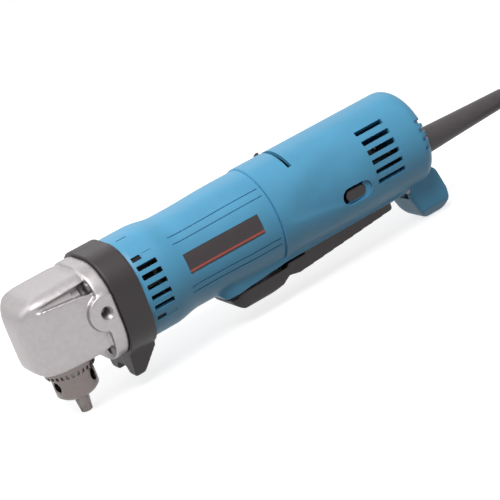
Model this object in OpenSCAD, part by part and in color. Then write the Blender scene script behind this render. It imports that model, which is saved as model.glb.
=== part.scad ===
// Right angle drill with a keyed chuck, a paddle switch lever and a mains lead.
// +X runs along the body to the rear, +Z is up, and the jaw tips stand on z = 0 at the origin.

/* [Body] */
// Height of the motor axis over the jaw tips
axis_h = 51; // [50:0.5:53]
// Outer radius of the rear covers
cover_r = 30.2; // [29.8:0.1:31]
// Wall of the rear covers
cover_wall = 2.6; // [2.2:0.1:3]
// Length of the rear covers
cover_len = 110; // [108:1:116]
// Length of the motor housing
motor_len = 91; // [90:0.5:94]
// Outer radius of the motor housing at its front flare
flare_r = 30.6; // [30:0.1:31]
// Outer radius of the motor housing at its waist
waist_r = 27.8; // [27.6:0.1:28.4]
// Outer radius of the motor housing behind the waist
grip_r = 29.4; // [29:0.1:29.8]
// Inner radius of the motor housing round the stator
stator_seat_r = 25.2; // [25:0.1:25.4]

/* [Gear head] */
// Front of the head ahead of the spindle axis
head_front = 22.5; // [22:0.5:26]
// Height of the head's underside over the jaw tips
head_bottom_h = 32.6; // [32:0.1:33]
// Half width of the head at the flange
head_half_w = 25.5; // [25:0.5:27]
// Half width of the head at its front
nose_half_w = 20.8; // [20.5:0.1:22]
// Front face of the head's flange behind the spindle axis
flange_x = 20; // [19.8:0.1:21]
// Thickness of the head's flange
flange_t = 8.5; // [8.2:0.1:10]
// Half size of the head's flange
flange_half = 28.7; // [28.4:0.1:29.5]
// Length of the black collar
collar_len = 16.5; // [16.2:0.1:18]
// Half size of the black collar
collar_half = 30.6; // [30.2:0.1:31.2]
// Depth of the collar's two feet under the motor axis
foot_drop = 43.5; // [41:0.5:45]

/* [Gears] */
// Module of the motor pinion and its gear
spur_module = 0.75; // [0.73:0.01:0.77]
// Teeth on the motor pinion
motor_pinion_teeth = 8; // [8:1:8]
// Teeth on the countershaft gear
spur_teeth = 28; // [28:1:28]
// Module of the bevel pair at its outer end
bevel_module = 1.1; // [1.06:0.01:1.12]
// Teeth on the bevel pinion
bevel_pinion_teeth = 10; // [10:1:10]
// Teeth on the bevel gear
bevel_teeth = 30; // [30:1:30]
// Face width of the bevel teeth
bevel_face = 6; // [5:0.5:6.5]

/* [Chuck] */
// Radius of the chuck's nose
nose_r = 12.4; // [12.2:0.1:13]
// Height of the chuck's nose over the jaw tips
nose_h = 11.4; // [10.5:0.1:12]
// Outer radius of the toothed sleeve
sleeve_r = 15; // [14.8:0.1:15.6]
// Lean of the jaws from the spindle axis, in degrees
jaw_lean = 15; // [14.5:0.1:15.2]
// Radius of each jaw
jaw_r = 2.6; // [2.5:0.05:2.7]
// Radius of the shank that the closed jaws hold
grip_bore_r = 1.5; // [1.4:0.05:1.6]
// Travel of each jaw along its own axis
jaw_travel = 13.5; // [11:0.5:13.5]

/* [Switch lever] */
// Half width of the switch lever
lever_half_w = 16.8; // [16:0.1:17]
// Front end of the lever behind the spindle axis
lever_front_x = 96.4; // [96:0.1:98]
// Height of the lever's finger pad over the jaw tips
lever_pad_h = 10.8; // [10:0.1:12]
// Lift that the pressed lever needs under the motor housing
lever_lift = 4.7; // [4.6:0.1:5.2]
// Wall of the switch lever
lever_wall = 2; // [1.8:0.1:2.4]

/* [Cord] */
// Diameter of the mains lead
cord_d = 7.2; // [7:0.1:7.4]
// Length of the tapered cord guard behind the rear covers
guard_len = 74; // [74:1:74]
// Height of the cord over the jaw tips
cord_h = 41; // [41:1:41]
// Radius of the guard where it leaves the covers
guard_r = 8.4; // [8:0.1:9]

/* [Hidden] */
$fn = 64;

// Colours
blue_plastic = [0.20, 0.50, 0.68];
black_plastic = [0.13, 0.12, 0.13];
cast_metal = [0.75, 0.73, 0.73];
steel = [0.62, 0.61, 0.60];
dark_steel = [0.34, 0.34, 0.36];
copper = [0.72, 0.42, 0.25];
brass_metal = [0.78, 0.64, 0.32];
bronze = [0.62, 0.48, 0.28];
carbon = [0.10, 0.10, 0.11];
rubber_black = [0.09, 0.09, 0.09];

// Clearances, the overrun of cuts and the steps of a rounded corner
fit = 0.05;
gap = 0.3;
loose = 0.6;
over = 1;
arc_steps = 6;

// Stations along the body
collar_x = flange_x + flange_t;
motor_x = collar_x + collar_len;
seam_x = motor_x + motor_len;
rear_x = seam_x + cover_len;
guard_x = rear_x + guard_len;
far = rear_x;

// Shafts
pinion_pitch_r = spur_module * motor_pinion_teeth / 2;
spur_pitch_r = spur_module * spur_teeth / 2;
counter_h = axis_h + pinion_pitch_r + spur_pitch_r;
shaft_r = 4;
journal_r = 3;
rear_journal_r = 2.5;

// Ball bearings as [bore radius, outer radius, width]
small_bearing = [journal_r, 9.5, 6];
spindle_bearing = [5, 13, 8];
race_share = 0.28;
ball_share = 0.27;
ball_count = 7;

// Spur pair
spur_face = 6;
gear_inset = 1.5;
spur_x = collar_x + gear_inset;
tooth_add_share = 0.7;
tooth_ded_share = 1.0;
tooth_tip_share = 0.20;
tooth_pitch_share = 0.33;
tooth_root_share = 0.40;
gear_room = 0.9;

// Stations of the countershaft
bevel_heel_x = bevel_module * bevel_teeth / 2;
bearing_lead = 0.5;
counter_bearing_x = flange_x - bearing_lead;
counter_bush_len = 3;
counter_bush_r = 4;
gear_end_gap = 1.2;
bush_x = spur_x + spur_face + gear_end_gap;
wall_x = bush_x;

// Stations of the armature
front_bearing_x = bush_x + counter_bush_len + gear_end_gap;
bearing_boss_t = 3;
fan_inset = 5;
fan_x = motor_x + fan_inset;
fan_len = 10;
fan_r = 22.4;
fan_disc_t = 2;
fan_hub_r = 6.5;
blade_t = 1.2;
blade_count = 13;
stator_inset = 27;
stator_x = motor_x + stator_inset;
stator_len = 32;
coil_end_len = 7.5;
armature_r = 14;
air_gap = 0.5;
winding_r = 13;
commutator_r = 10.5;
commutator_inset = 12;
commutator_x = stator_x + stator_len + commutator_inset;
commutator_len = 16;
carrier_gap = 1.5;
carrier_x = commutator_x + commutator_len + carrier_gap;
carrier_t = 9.5;
carrier_floor = 2.5;
rear_bearing_x = carrier_x + carrier_floor;

// Spindle stack, upward from the chuck
spindle_r = 4.76;
spindle_foot_h = 25;
chuck_top_h = 42;
seal_gap = 1;
seal_h = chuck_top_h + seal_gap;
seal_t = 1.5;
spindle_bearing_h = seal_h + seal_t;
shoulder_r = 6.5;
ring_h = spindle_bearing_h + spindle_bearing[2];
ring_t = 1.2;
gear_seat_r = 6;
gear_back_h = ring_h + ring_t + loose;
gear_hub_t = 4;
gear_hub_h = gear_back_h + gear_hub_t;
spindle_neck_r = 4;
top_bush_rise = 6;
top_bush_h = counter_h + top_bush_rise;
top_bush_r = 5.5;
top_bush_len = 5.5;
recess_r = 17.6;
cavity_room = 1.9;
cavity_r = bevel_heel_x + cavity_room;

// Round corners of the head, its flange and the collar
head_top_drop = 1.2;
head_top_h = axis_h + flange_half - head_top_drop;
head_nose_drop = 2;
head_top_round = 16;
head_low_round = 6;
head_nose_round = 17;
head_edge_round = 4;
head_crown_round = 14;
flange_round = 22;
collar_round = 23;
foot_round = 3;
foot_inner_round = 2;
flare_edge = 4;

// Side handle holes
handle_r = 3.4;
handle_depth = 11;
handle_boss_r = 10.5;
handle_inset = 2;
handle_rise = 3.7;
handle_x = flange_x + handle_inset;
handle_h = axis_h + handle_rise;
handle_face = flange_half;

// Flange screws
flange_screw_y = 20;
flange_screw_drop = 18.7;
screw_r = 2;
screw_head_r = 3.6;
screw_head_t = 2.4;
screw_len = 38;
screw_boss_r = 4.2;
screw_boss_len = 14;
screw_well = 5;
scoop_len = 31;
scoop_rise = 4.4;

// Cover screws as shares of the cover length and radius
cover_screw_shares = [[0.11, 0.70], [0.49, 0.74], [0.89, 0.62]];
lug_screw_inset = 4;
lug_screw_x = rear_x - lug_screw_inset;
lug_screw_h = 12;
cover_boss_r = 4;
cover_head_t = 2;
cover_head_r = 3.2;
cover_screw_r = 1.6;
cover_screw_len = 24;

// Vent slots: angles upward from the left side, in degrees
front_vent_angles = [31.9, 21.3, 9.8, -2, -13.5];
rear_vent_angles = [46.7, 33.2, 21.3, 9.7, -1.8, -13.6];
short_vent_angles = [42.7, -27];
vent_w = 2.7;
front_vent_inset = 2.8;
front_vent_x = motor_x + front_vent_inset;
front_vent_len = 12.5;
short_vent_len = 5.8;
rear_vent_inset = 67;
rear_vent_x = seam_x + rear_vent_inset;
rear_vent_len = 19.5;
vent_reach = cover_r * 1.4;
vent_root_r = stator_seat_r * 0.8;
short_vent_depth = 1.2;
groove_angles = [47.5, 37.5, -15.4, -23.3];
groove_w = 0.8;
groove_depth = 0.5;
groove_inset = 28;
groove_x = motor_x + groove_inset;
groove_len = 60.5;
notch_angles = [25, 15, 5, -5];
notch_w = 2.6;
notch_len = 6;
notch_depth = 1.3;

// Badge plate on the left of the motor housing
badge_inset = 30;
badge_x = motor_x + badge_inset;
badge_len = 50;
badge_w = 11.8;
badge_angle = 11;
badge_proud = 0.2;
badge_sink = 1.4;

// Rear lug under the covers
lug_half_w = 12.5;
lug_len = 17;
lug_proud = 9.5;
lug_front_x = rear_x - lug_len;
lug_back_x = rear_x + lug_proud;
lug_corners = [4, 8, 7, 6, 8];
lug_foot_half_w = 7;
lug_foot_h = 8;
lug_foot_round = 4;
lug_slot_half_w = 9.3;
lug_slot_h = 17;
edge_round = 8;

// Lever hinge
hinge_inset = 17;
hinge_x = rear_x - hinge_inset;
hinge_h = 23.5;
hinge_r = 2;
hinge_boss_r = 4.3;
lever_wide_inset = 32;
lever_wide_x = rear_x - lever_wide_inset;
lever_tail_half_w = 8.8;
slot_play = 1;
lever_tall_inset = 14;
lever_tall_x = seam_x + lever_tall_inset;
// Finger pad's outline as [run from its start, rise over the pad, corner radius]
lever_nose_run = 4;
lever_nose_round = 5;
lever_wave = [[-14, -0.3, 10], [-5, 1.7, 4], [0, 5, 2], [3, 4.4, 1.5], [7, 3.4, 4]];
lever_edge_round = 4;
lever_front_round = 6;
lever_back_round = 3;
lever_tall_h = 28;

// Skirt of the housings round the lever
skirt_wall = 1.6;
skirt_half_w = lever_half_w + slot_play + skirt_wall;
skirt_tip_x = lever_front_x - loose - skirt_wall;
skirt_tip_h = 21.6;
skirt_rear_h = 25.2;
skirt_run = 5;
skirt_rise = 6;
skirt_tip_round = 1;
skirt_front_round = 7;
skirt_back_round = 9;

// Switch, its plunger and the suppressor
switch_inset = 26;
switch_x = seam_x + switch_inset;
switch_round = 1;
suppressor_round = 2;
switch_len = 38;
switch_half_w = 10;
switch_h = 33;
switch_tall = 19;
plunger_inset = 19;
plunger_x = switch_x + plunger_inset;
plunger_r = 3;
plunger_play = 1.2;
plunger_depth = 8;
post_half = 3.6;
post_h = 26.5;
suppressor_len = 22;
suppressor_half_w = 7;
suppressor_t = 9;
switch_rib_len = 3;
switch_rib_low = 37;
switch_rib_tall = 9;

// Lever spring
spring_inset = 8;
spring_x = switch_x + spring_inset;
spring_r = 3.2;
spring_wire_r = 0.5;
spring_turns = 4;
spring_foot_h = 19.2;

// Lock button on the left cover
button_inset = 51.5;
button_x = seam_x + button_inset;
button_h = 44.6;
button_len = 13.6;
button_tall = 6.4;
button_face = 28;
button_root = 14;
button_flange_y = 23.6;
button_flange_t = 1.5;
button_rim = 1.6;
recess_len = 18;
recess_tall = 10.4;
recess_floor = 27.4;
recess_back = 24.6;

// Reverse lever in a slot across the top of the covers
reverse_inset = 22;
reverse_x = seam_x + reverse_inset;
reverse_t = 2;
reverse_slot_w = 2.8;
reverse_slot_half = 39;
reverse_rest = 33;
reverse_knob_half = 4;
reverse_band_half = 58;
reverse_band_t = 3;
reverse_knob_rise = 2;

// Brushes
brush_x = commutator_x + commutator_len / 2;
brush_w = 6;
brush_tall = 8;
brush_len = 8.5;
holder_t = 0.8;
holder_len = 12.5;
brush_spring_r = 2.2;
brush_spring_wire_r = 0.35;
brush_spring_turns = 3;
carrier_arm_t = 2.4;

// Cord clamp
clamp_inset = 22;
clamp_x = rear_x - clamp_inset;
clamp_len = 8;
clamp_half_w = 11;
clamp_t = 5;
clamp_screw_y = 7.5;
clamp_screw_r = 1.5;
clamp_screw_len = 13;
clamp_head_r = 2.8;
clamp_head_t = 2;
saddle_low = 30;
stub_len = 8;
stub_x = clamp_x - stub_len;
guard_flange_r = 10.5;
guard_flange_t = 2;
guard_tip_wall = 1.9;
guard_tip_r = cord_d / 2 + guard_tip_wall;
guard_groove_r = 6.4;
guard_mid_share = 0.35;

// Lead from the guard to the coil, chosen by hand
lead_route = [
    [320, 0, 41], [327, 0, 41], [333.5, 0.5, 40.8], [340, 2.5, 40.2], [345.5, 6, 39.2], [350.5, 10.5, 38],
    [354.5, 15.5, 36.5], [357.5, 21.5, 34.9], [360.5, 27.5, 33.3], [364.5, 32.5, 31.8], [369.5, 37, 30.6],
    [375, 40.5, 29.6], [381.5, 42.5, 29], [388, 43, 28.8], [395, 43, 28.8]
];
// Coil of the lead
coil_centre = [402, 0];
coil_out_r = 43;
coil_pitch = 8;
coil_rise = 7.9;
coil_layers = 4;
coil_turns = 1.5;
climb_turns = 0.5;
loop_rings = 24;
coil_sides = 6;
lead_sides = 8;
// Tail from the coil to the plug, chosen by hand from the end of the coil
tail_steps = [
    [4, 0, 0], [8.5, 0.3, 0.2], [13, 1, 0.9], [17, 2.3, 2], [21, 3.5, 3], [25.5, 4.2, 3.7],
    [30, 4.5, 3.9], [38, 4.5, 3.9]
];
tie_w = 9;
tie_t = 1.2;
plug_len = 38;
plug_half_w = 11;
plug_neck_r = 5.5;
plug_neck_len = 10;
pin_r = 2;
pin_len = 19;
pin_half_pitch = 5;
pin_hold = 6;

// Round outlines from corners written as [x, y, radius]
function unit(v) = v / norm(v);

function corner_arc(a, b, c, r) = r == 0 ? [b] :
    let (
        u = unit(a - b),
        w = unit(c - b),
        half = acos(u * w) / 2,
        middle = b + unit(u + w) * r / sin(half),
        first = b + u * r / tan(half) - middle,
        last = b + w * r / tan(half) - middle,
        start = atan2(first.y, first.x),
        swing = atan2(first.x * last.y - first.y * last.x, first * last)
    )
    [for (i = [0:arc_steps]) middle + r * [cos(start + swing * i / arc_steps),
                                           sin(start + swing * i / arc_steps)]];

function flat(p) = [p.x, p.y];

function rounded(corners) =
    let (n = len(corners))
    [for (i = [0:n - 1]) each corner_arc(flat(corners[(i + n - 1) % n]), flat(corners[i]),
                                         flat(corners[(i + 1) % n]), corners[i].z)];

function rounded_box(half_w, half_h, r) =
    rounded([[-half_w, -half_h, r], [half_w, -half_h, r], [half_w, half_h, r], [-half_w, half_h, r]]);

function arc(r, from, to, steps) =
    [for (i = [0:steps]) let (a = from + (to - from) * i / steps) [r * cos(a), r * sin(a)]];

function sector(inner, outer, from, to, steps) =
    concat(arc(outer, from, to, steps), arc(inner, to, from, steps));

// A smooth step between two radii, as [radius, x] points
function blend(r0, x0, r1, x1, steps) =
    [for (i = [0:steps]) let (s = i / steps) [r0 + (r1 - r0) * (1 - cos(180 * s)) / 2, x0 + (x1 - x0) * s]];

// Straight-sided gear teeth with play, as an outline
function tooth_half(share, module_size, r) = share * module_size * 90 / r;

function gear_outline(teeth, m, turn) =
    let (
        pitch = m * teeth / 2,
        tip = pitch + m * tooth_add_share,
        root = pitch - m * tooth_ded_share,
        half_root = tooth_half(tooth_root_share, m, root),
        half_pitch = tooth_half(tooth_pitch_share, m, pitch),
        half_tip = tooth_half(tooth_tip_share, m, tip),
        rows = [[root, -half_root], [pitch, -half_pitch], [tip, -half_tip],
                [tip, half_tip], [pitch, half_pitch], [root, half_root]]
    )
    [for (i = [0:teeth - 1]) for (p = rows)
        let (a = turn + 360 * i / teeth + p[1]) [p[0] * cos(a), p[0] * sin(a)]];

// One ring of points round a bevel gear, at a share of the way out from the apex.
// The apex is the origin and the gear opens along +Z.
function bevel_ring(teeth, mate, share, turn) =
    let (
        m = bevel_module,
        cone = atan(teeth / mate),
        out = m * teeth / 2 / sin(cone),
        foot = [out * sin(cone), out * cos(cone)],
        normal = [cos(cone), -sin(cone)],
        tip = foot + normal * m * tooth_add_share,
        root = foot - normal * m * tooth_ded_share,
        wide = tooth_half(tooth_root_share, m, m * teeth / 2),
        slim = tooth_half(tooth_tip_share, m, m * teeth / 2),
        rows = [[root, -wide], [tip, -slim], [tip, slim], [root, wide]]
    )
    [for (i = [0:teeth - 1]) for (p = rows) let (a = turn + 360 * i / teeth + p[1])
        share * [p[0].x * cos(a), p[0].x * sin(a), p[0].y]];

function plain_ring(r, h, n, turn) =
    [for (i = [0:n - 1]) let (a = turn + 360 * i / n) [r * cos(a), r * sin(a), h]];

function bevel_toe_share(teeth, mate) =
    let (out = bevel_module * norm([teeth, mate]) / 2) (out - bevel_face) / out;

// Faces between rings of n points, closed round as a ring or capped at both ends
function band(a, b, n) =
    [for (k = [0:n - 1]) let (q = (k + 1) % n)
        each [[a * n + k, a * n + q, b * n + q], [a * n + k, b * n + q, b * n + k]]];

function loop_faces(rings, n) = [for (i = [0:rings - 1]) each band(i, (i + 1) % rings, n)];

function tube_faces(rings, n) = concat(
    [for (i = [0:rings - 2]) each band(i, i + 1, n)],
    [for (k = [1:n - 2]) [0, k + 1, k]],
    [for (k = [1:n - 2]) [(rings - 1) * n, (rings - 1) * n + k, (rings - 1) * n + k + 1]]);

function way(path, i) = unit(path[min(i + 1, len(path) - 1)] - path[max(i - 1, 0)]);

function tube_points(path, r, n) =
    [for (i = [0:len(path) - 1])
        let (t = way(path, i), side = unit(cross(t, [0, 0, 1])), top = cross(side, t))
        for (k = [0:n - 1]) path[i] + r * (cos(360 * (k + 0.5) / n) * side + sin(360 * (k + 0.5) / n) * top)];

// The coil: turns run clockwise from the right of the lead, in and out by layers from the top
coil_base = cord_d / 2 + tie_t + gap;
coil_top = coil_base + coil_rise * (coil_layers - 1);
coil_leg = coil_turns + climb_turns;
coil_all = coil_turns * coil_layers + climb_turns * (coil_layers - 1);

function coil_radius(t) =
    let (u = t + climb_turns / 2, leg = floor(u / coil_leg), part = u - leg * coil_leg)
    coil_out_r + coil_pitch * (climb_turns / 2 - (leg % 2 == 0 ? part : coil_leg - part));

function coil_level(t) =
    let (leg = floor(t / coil_leg), part = t - leg * coil_leg,
         climb = max(0, part - coil_turns) / climb_turns)
    coil_top - coil_rise * (leg + (1 - cos(180 * climb)) / 2);

function coil_point(t) =
    let (a = 90 - 360 * t)
    [coil_centre.x + coil_radius(t) * cos(a), coil_centre.y + coil_radius(t) * sin(a), coil_level(t)];

lead_end = lead_route[len(lead_route) - 1];
coil_last = coil_point(coil_all);
tail_path = [for (p = tail_steps) coil_last + [-p.x, p.y, p.z]];
coil_path = concat(
    [lead_end],
    [for (i = [0:coil_all * loop_rings]) coil_point(i / loop_rings)],
    tail_path);
plug_x = tail_path[len(tail_path) - 1].x;
plug_h = tail_path[len(tail_path) - 1].z;
plug_y = tail_path[len(tail_path) - 1].y;

// Least gap of the cord to itself, between points at least half a loop apart
cord_path = concat(lead_route, coil_path);
cord_count = len(cord_path);
cord_gap = min([for (i = [0:cord_count - 1]) for (j = [i + loop_rings / 2:1:cord_count - 1])
    norm(cord_path[i] - cord_path[j])]) - cord_d;
echo(cord_least_gap = cord_gap);
function path_length(p) = len(p) < 2 ? 0 : norm(p[1] - p[0]) + path_length([for (i = [1:len(p) - 1]) p[i]]);
echo(cord_length = path_length(lead_route) + path_length(coil_path));

// Upright helix for a small spring
spring_rings = 8;

function helix(r, h0, h1, turns) =
    [for (i = [0:turns * spring_rings]) let (a = 360 * i / spring_rings)
        [r * cos(a), r * sin(a), h0 + (h1 - h0) * i / (turns * spring_rings)]];

// Placing helpers
module along_x(x0, length) {
    translate([x0, 0, 0]) rotate([90, 0, 90]) linear_extrude(length) children();
}

module across_y(y0, width) {
    translate([0, y0 + width, 0]) rotate([90, 0, 0]) linear_extrude(width) children();
}

module turned_x(profile, h) {
    translate([0, 0, h]) rotate([0, 90, 0]) rotate_extrude() polygon(profile);
}

module rod_x(x0, length, r, h, y = 0) {
    translate([x0, y, h]) rotate([0, 90, 0]) cylinder(h = length, r = r);
}

module rod_y(x, y0, length, r, h) {
    translate([x, y0, h]) rotate([-90, 0, 0]) cylinder(h = length, r = r);
}

module rod_z(h0, length, r) {
    translate([0, 0, h0]) cylinder(h = length, r = r);
}

module tube_x(x0, length, outer, inner, h, y = 0) {
    difference() {
        rod_x(x0, length, outer, h, y);
        rod_x(x0 - over, length + 2 * over, inner, h, y);
    }
}

module tube_z(h0, length, outer, inner) {
    difference() {
        rod_z(h0, length, outer);
        rod_z(h0 - over, length + 2 * over, inner);
    }
}

module block(low, high) {
    translate(low) cube(high - low);
}

module both_sides() {
    children();
    mirror([0, 1, 0]) children();
}

module oval_y(x, y0, length, long, tall, h) {
    translate([0, 0, h]) across_y(y0, length) {
        translate([x - (long - tall) / 2, 0]) circle(tall / 2);
        translate([x + (long - tall) / 2, 0]) circle(tall / 2);
        translate([x - (long - tall) / 2, -tall / 2]) square([long - tall, tall]);
    }
}

// A slot cut outward through a round wall, at an angle upward from the left side
module wall_cut(x0, length, width, angle, from_r, to_r) {
    translate([x0, 0, axis_h]) rotate([-angle, 0, 0])
        block([0, -to_r, -width / 2], [length, -from_r, width / 2]);
}

// Ball bearing pieces standing on z = 0 along +Z
function race_t(b) = (b[1] - b[0]) * race_share;
function ball_r(b) = (b[1] - b[0]) * ball_share;
function ball_ring_r(b) = (b[0] + b[1]) / 2;

module ball_groove(b) {
    translate([0, 0, b[2] / 2]) rotate_extrude() translate([ball_ring_r(b), 0]) circle(ball_r(b) + fit);
}

module outer_race(b) {
    difference() {
        tube_z(0, b[2], b[1], b[1] - race_t(b));
        ball_groove(b);
    }
}

module inner_race(b) {
    difference() {
        tube_z(0, b[2], b[0] + race_t(b), b[0] + fit / 2);
        ball_groove(b);
    }
}

module balls(b) {
    for (i = [0:ball_count - 1])
        rotate([0, 0, 360 * i / ball_count]) translate([ball_ring_r(b), 0, b[2] / 2]) sphere(ball_r(b));
}

module on_x(x0, h) {
    translate([x0, 0, h]) rotate([0, 90, 0]) children();
}

module each_bearing_x() {
    on_x(front_bearing_x, axis_h) children();
    on_x(rear_bearing_x, axis_h) children();
}

// Screw places
module at_flange_screws() {
    for (y = [-flange_screw_y, flange_screw_y]) for (drop = [-flange_screw_drop, flange_screw_drop])
        translate([0, y, axis_h + drop]) children();
}

cover_screws_at = [for (s = cover_screw_shares) [seam_x + s[0] * cover_len, axis_h + s[1] * cover_r]];
all_cover_screws = concat(cover_screws_at, [[lug_screw_x, lug_screw_h]]);
function skin_y(h) = sqrt(pow(cover_r, 2) - pow(h - axis_h, 2));
function screw_seat_y(p) =
    p[1] < axis_h - cover_r ? lug_half_w - cover_head_t : skin_y(p[1]) - cover_head_t * 2;

// Housings
module head_form() {
    intersection() {
        across_y(-head_half_w - over, 2 * (head_half_w + over)) polygon(rounded([
            [flange_x + over, head_bottom_h, 0], [flange_x + over, head_top_h, 0],
            [0, head_top_h - loose / 2, head_front * 2],
            [-head_front, head_top_h - head_nose_drop, head_top_round],
            [-head_front, head_bottom_h, head_low_round]]));
        translate([0, 0, head_bottom_h]) linear_extrude(2 * collar_half) polygon(rounded([
            [flange_x + over, -head_half_w, 0], [flange_x + over, head_half_w, 0],
            [-head_front, nose_half_w, head_nose_round], [-head_front, -nose_half_w, head_nose_round]]));
        along_x(-head_front - over, head_front + flange_x + 2 * over) polygon(rounded([
            [-head_half_w, head_bottom_h, head_edge_round], [head_half_w, head_bottom_h, head_edge_round],
            [head_half_w - 2 * loose, head_top_h, head_crown_round],
            [-head_half_w + 2 * loose, head_top_h, head_crown_round]]));
    }
}

module gear_housing() {
    color(cast_metal) difference() {
        union() {
            head_form();
            along_x(flange_x, flange_t) translate([0, axis_h])
                polygon(rounded_box(flange_half, flange_half, flange_round));
            both_sides() rod_y(handle_x, -handle_face, handle_face / 2, handle_boss_r, handle_h);
        }
        both_sides() rod_y(handle_x, -handle_face - over, handle_depth + over, handle_r, handle_h);
        block([collar_x, -collar_half, 0], [collar_x + handle_boss_r, collar_half, 2 * axis_h]);
        at_flange_screws() rod_x(0, far, screw_r + gap, 0);
        at_flange_screws() rod_x(flange_x - screw_well, screw_well, screw_head_r + gap, 0);
        both_sides() translate([flange_x - over, -flange_screw_y, axis_h + flange_screw_drop])
            rotate([0, -90 + atan(scoop_rise / scoop_len), 0])
                cylinder(h = norm([scoop_len, scoop_rise]), r1 = screw_head_r + loose, r2 = loose);
        rod_z(0, seal_h, recess_r);
        rod_z(0, spindle_bearing_h, spindle_bearing[1] - race_t(spindle_bearing));
        rod_z(spindle_bearing_h, cavity_r, spindle_bearing[1] + fit / 2);
        rod_z(ring_h, counter_h - ring_h - loose, cavity_r);
        rod_z(ring_h, top_bush_h - ring_h, gear_seat_r + 2 * loose);
        rod_z(ring_h, top_bush_h + top_bush_len - ring_h + gap, top_bush_r + fit / 2);
        rod_x(0, far, bevel_module * bevel_pinion_teeth / 2 + 2 * loose, counter_h);
        rod_x(counter_bearing_x, far, small_bearing[1] + fit / 2, counter_h);
    }
}

module collar_section() {
    polygon(rounded_box(collar_half, collar_half, collar_round));
}

module collar_feet() {
    foot_h = axis_h - foot_drop;
    foot_in = collar_half * 0.24;
    foot_out = collar_half * 0.48;
    web_h = foot_h + foot_out * 0.38;
    slope_x = motor_x - collar_len * 0.65;
    intersection() {
        along_x(collar_x, collar_len + over) polygon(rounded([
            [-collar_half * 0.62, axis_h - collar_half * 0.8, 0], [-foot_out, foot_h, foot_round],
            [-foot_in, foot_h, foot_round], [-foot_in * 0.7, web_h, foot_inner_round],
            [foot_in * 0.7, web_h, foot_inner_round], [foot_in, foot_h, foot_round],
            [foot_out, foot_h, foot_round],
            [collar_half * 0.62, axis_h - collar_half * 0.8, 0]]));
        across_y(-collar_half, 2 * collar_half) polygon(rounded([
            [collar_x, axis_h - collar_half * 0.6, 0], [collar_x, foot_h, foot_inner_round],
            [slope_x, foot_h, foot_round], [motor_x, axis_h - collar_half + loose, foot_round],
            [motor_x, axis_h - collar_half * 0.6, 0]]));
    }
}

module collar() {
    color(black_plastic) difference() {
        union() {
            along_x(collar_x, collar_len) translate([0, axis_h]) collar_section();
            collar_feet();
            rod_x(wall_x, front_bearing_x + small_bearing[2] - wall_x,
                  small_bearing[1] + bearing_boss_t, axis_h);
        }
        at_flange_screws() rod_x(collar_x - over, far, screw_r + gap, 0);
        rod_x(collar_x - over, wall_x - collar_x + over, collar_half * 0.7, axis_h);
        rod_x(collar_x - over, wall_x - collar_x + over, spur_pitch_r + spur_module + gear_room, counter_h);
        rod_x(wall_x - over, counter_bush_len + over, counter_bush_r + fit / 2, counter_h);
        rod_x(wall_x - over, far, shaft_r + loose, axis_h);
        rod_x(front_bearing_x, far, small_bearing[1] + fit / 2, axis_h);
    }
}

module motor_skin(extra) {
    turned_x(concat(
        [[0, motor_x], [flare_r - loose + extra, motor_x], [flare_r + extra, motor_x + flare_edge]],
        blend(flare_r + extra, motor_x + motor_len * 0.19,
              waist_r + extra, motor_x + motor_len * 0.38, arc_steps),
        blend(waist_r + extra, motor_x + motor_len * 0.48,
              grip_r + extra, motor_x + motor_len * 0.74, arc_steps),
        [[grip_r + extra, seam_x], [0, seam_x]]), axis_h);
}

module motor_bore() {
    step_x = stator_x - coil_end_len - 2 * loose;
    turned_x([[0, motor_x - over], [flare_r - cover_wall, motor_x - over],
              [flare_r - cover_wall, motor_x + motor_len * 0.18], [stator_seat_r, step_x],
              [stator_seat_r, seam_x + over], [0, seam_x + over]], axis_h);
}

// Walls beside and ahead of the lever
module lever_skirt() {
    top_h = axis_h - waist_r * 0.7;
    front_x = skirt_tip_x - skirt_run;
    room_half_w = lever_half_w + slot_play;
    difference() {
        intersection() {
            across_y(-skirt_half_w, 2 * skirt_half_w) polygon(rounded([
                [front_x, skirt_tip_h + skirt_rise, 0], [skirt_tip_x, skirt_tip_h, skirt_tip_round],
                [seam_x, skirt_rear_h, 0], [seam_x, top_h, 0], [front_x, top_h, 0]]));
            linear_extrude(axis_h) polygon(rounded([
                [front_x, -skirt_half_w, skirt_front_round], [far, -skirt_half_w, 0],
                [far, skirt_half_w, 0], [front_x, skirt_half_w, skirt_front_round]]));
        }
        linear_extrude(axis_h) polygon(rounded([
            [lever_front_x - loose, -room_half_w, lever_front_round], [far, -room_half_w, 0],
            [far, room_half_w, 0], [lever_front_x - loose, room_half_w, lever_front_round]]));
    }
}

module motor_housing() {
    color(blue_plastic) difference() {
        union() {
            difference() {
                union() {
                    motor_skin(0);
                    lever_skirt();
                }
                motor_bore();
            }
            intersection() {
                at_flange_screws() rod_x(motor_x, screw_boss_len, screw_boss_r, 0);
                rod_x(motor_x, screw_boss_len, flare_r - loose, axis_h);
            }
        }
        at_flange_screws() rod_x(motor_x - over, screw_len, screw_r + fit, 0);
        both_sides() {
            for (a = front_vent_angles)
                wall_cut(front_vent_x, front_vent_len, vent_w, a, vent_root_r, vent_reach);
            for (a = short_vent_angles)
                wall_cut(front_vent_x, short_vent_len, vent_w, a, flare_r - short_vent_depth, vent_reach);
            for (a = groove_angles)
                wall_cut(groove_x, groove_len, groove_w, a, grip_r - groove_depth, vent_reach);
        }
        badge_bed(0);
    }
}

// The badge lies in a flat bed on the motor housing's left side
module badge_bed(slack) {
    wall_cut(badge_x + slack, badge_len - 2 * slack, badge_w - 2 * slack, badge_angle,
             waist_r - badge_sink + slack, vent_reach);
}

module badge_plate() {
    color(black_plastic) intersection() {
        badge_bed(fit);
        motor_skin(badge_proud);
    }
}

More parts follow.
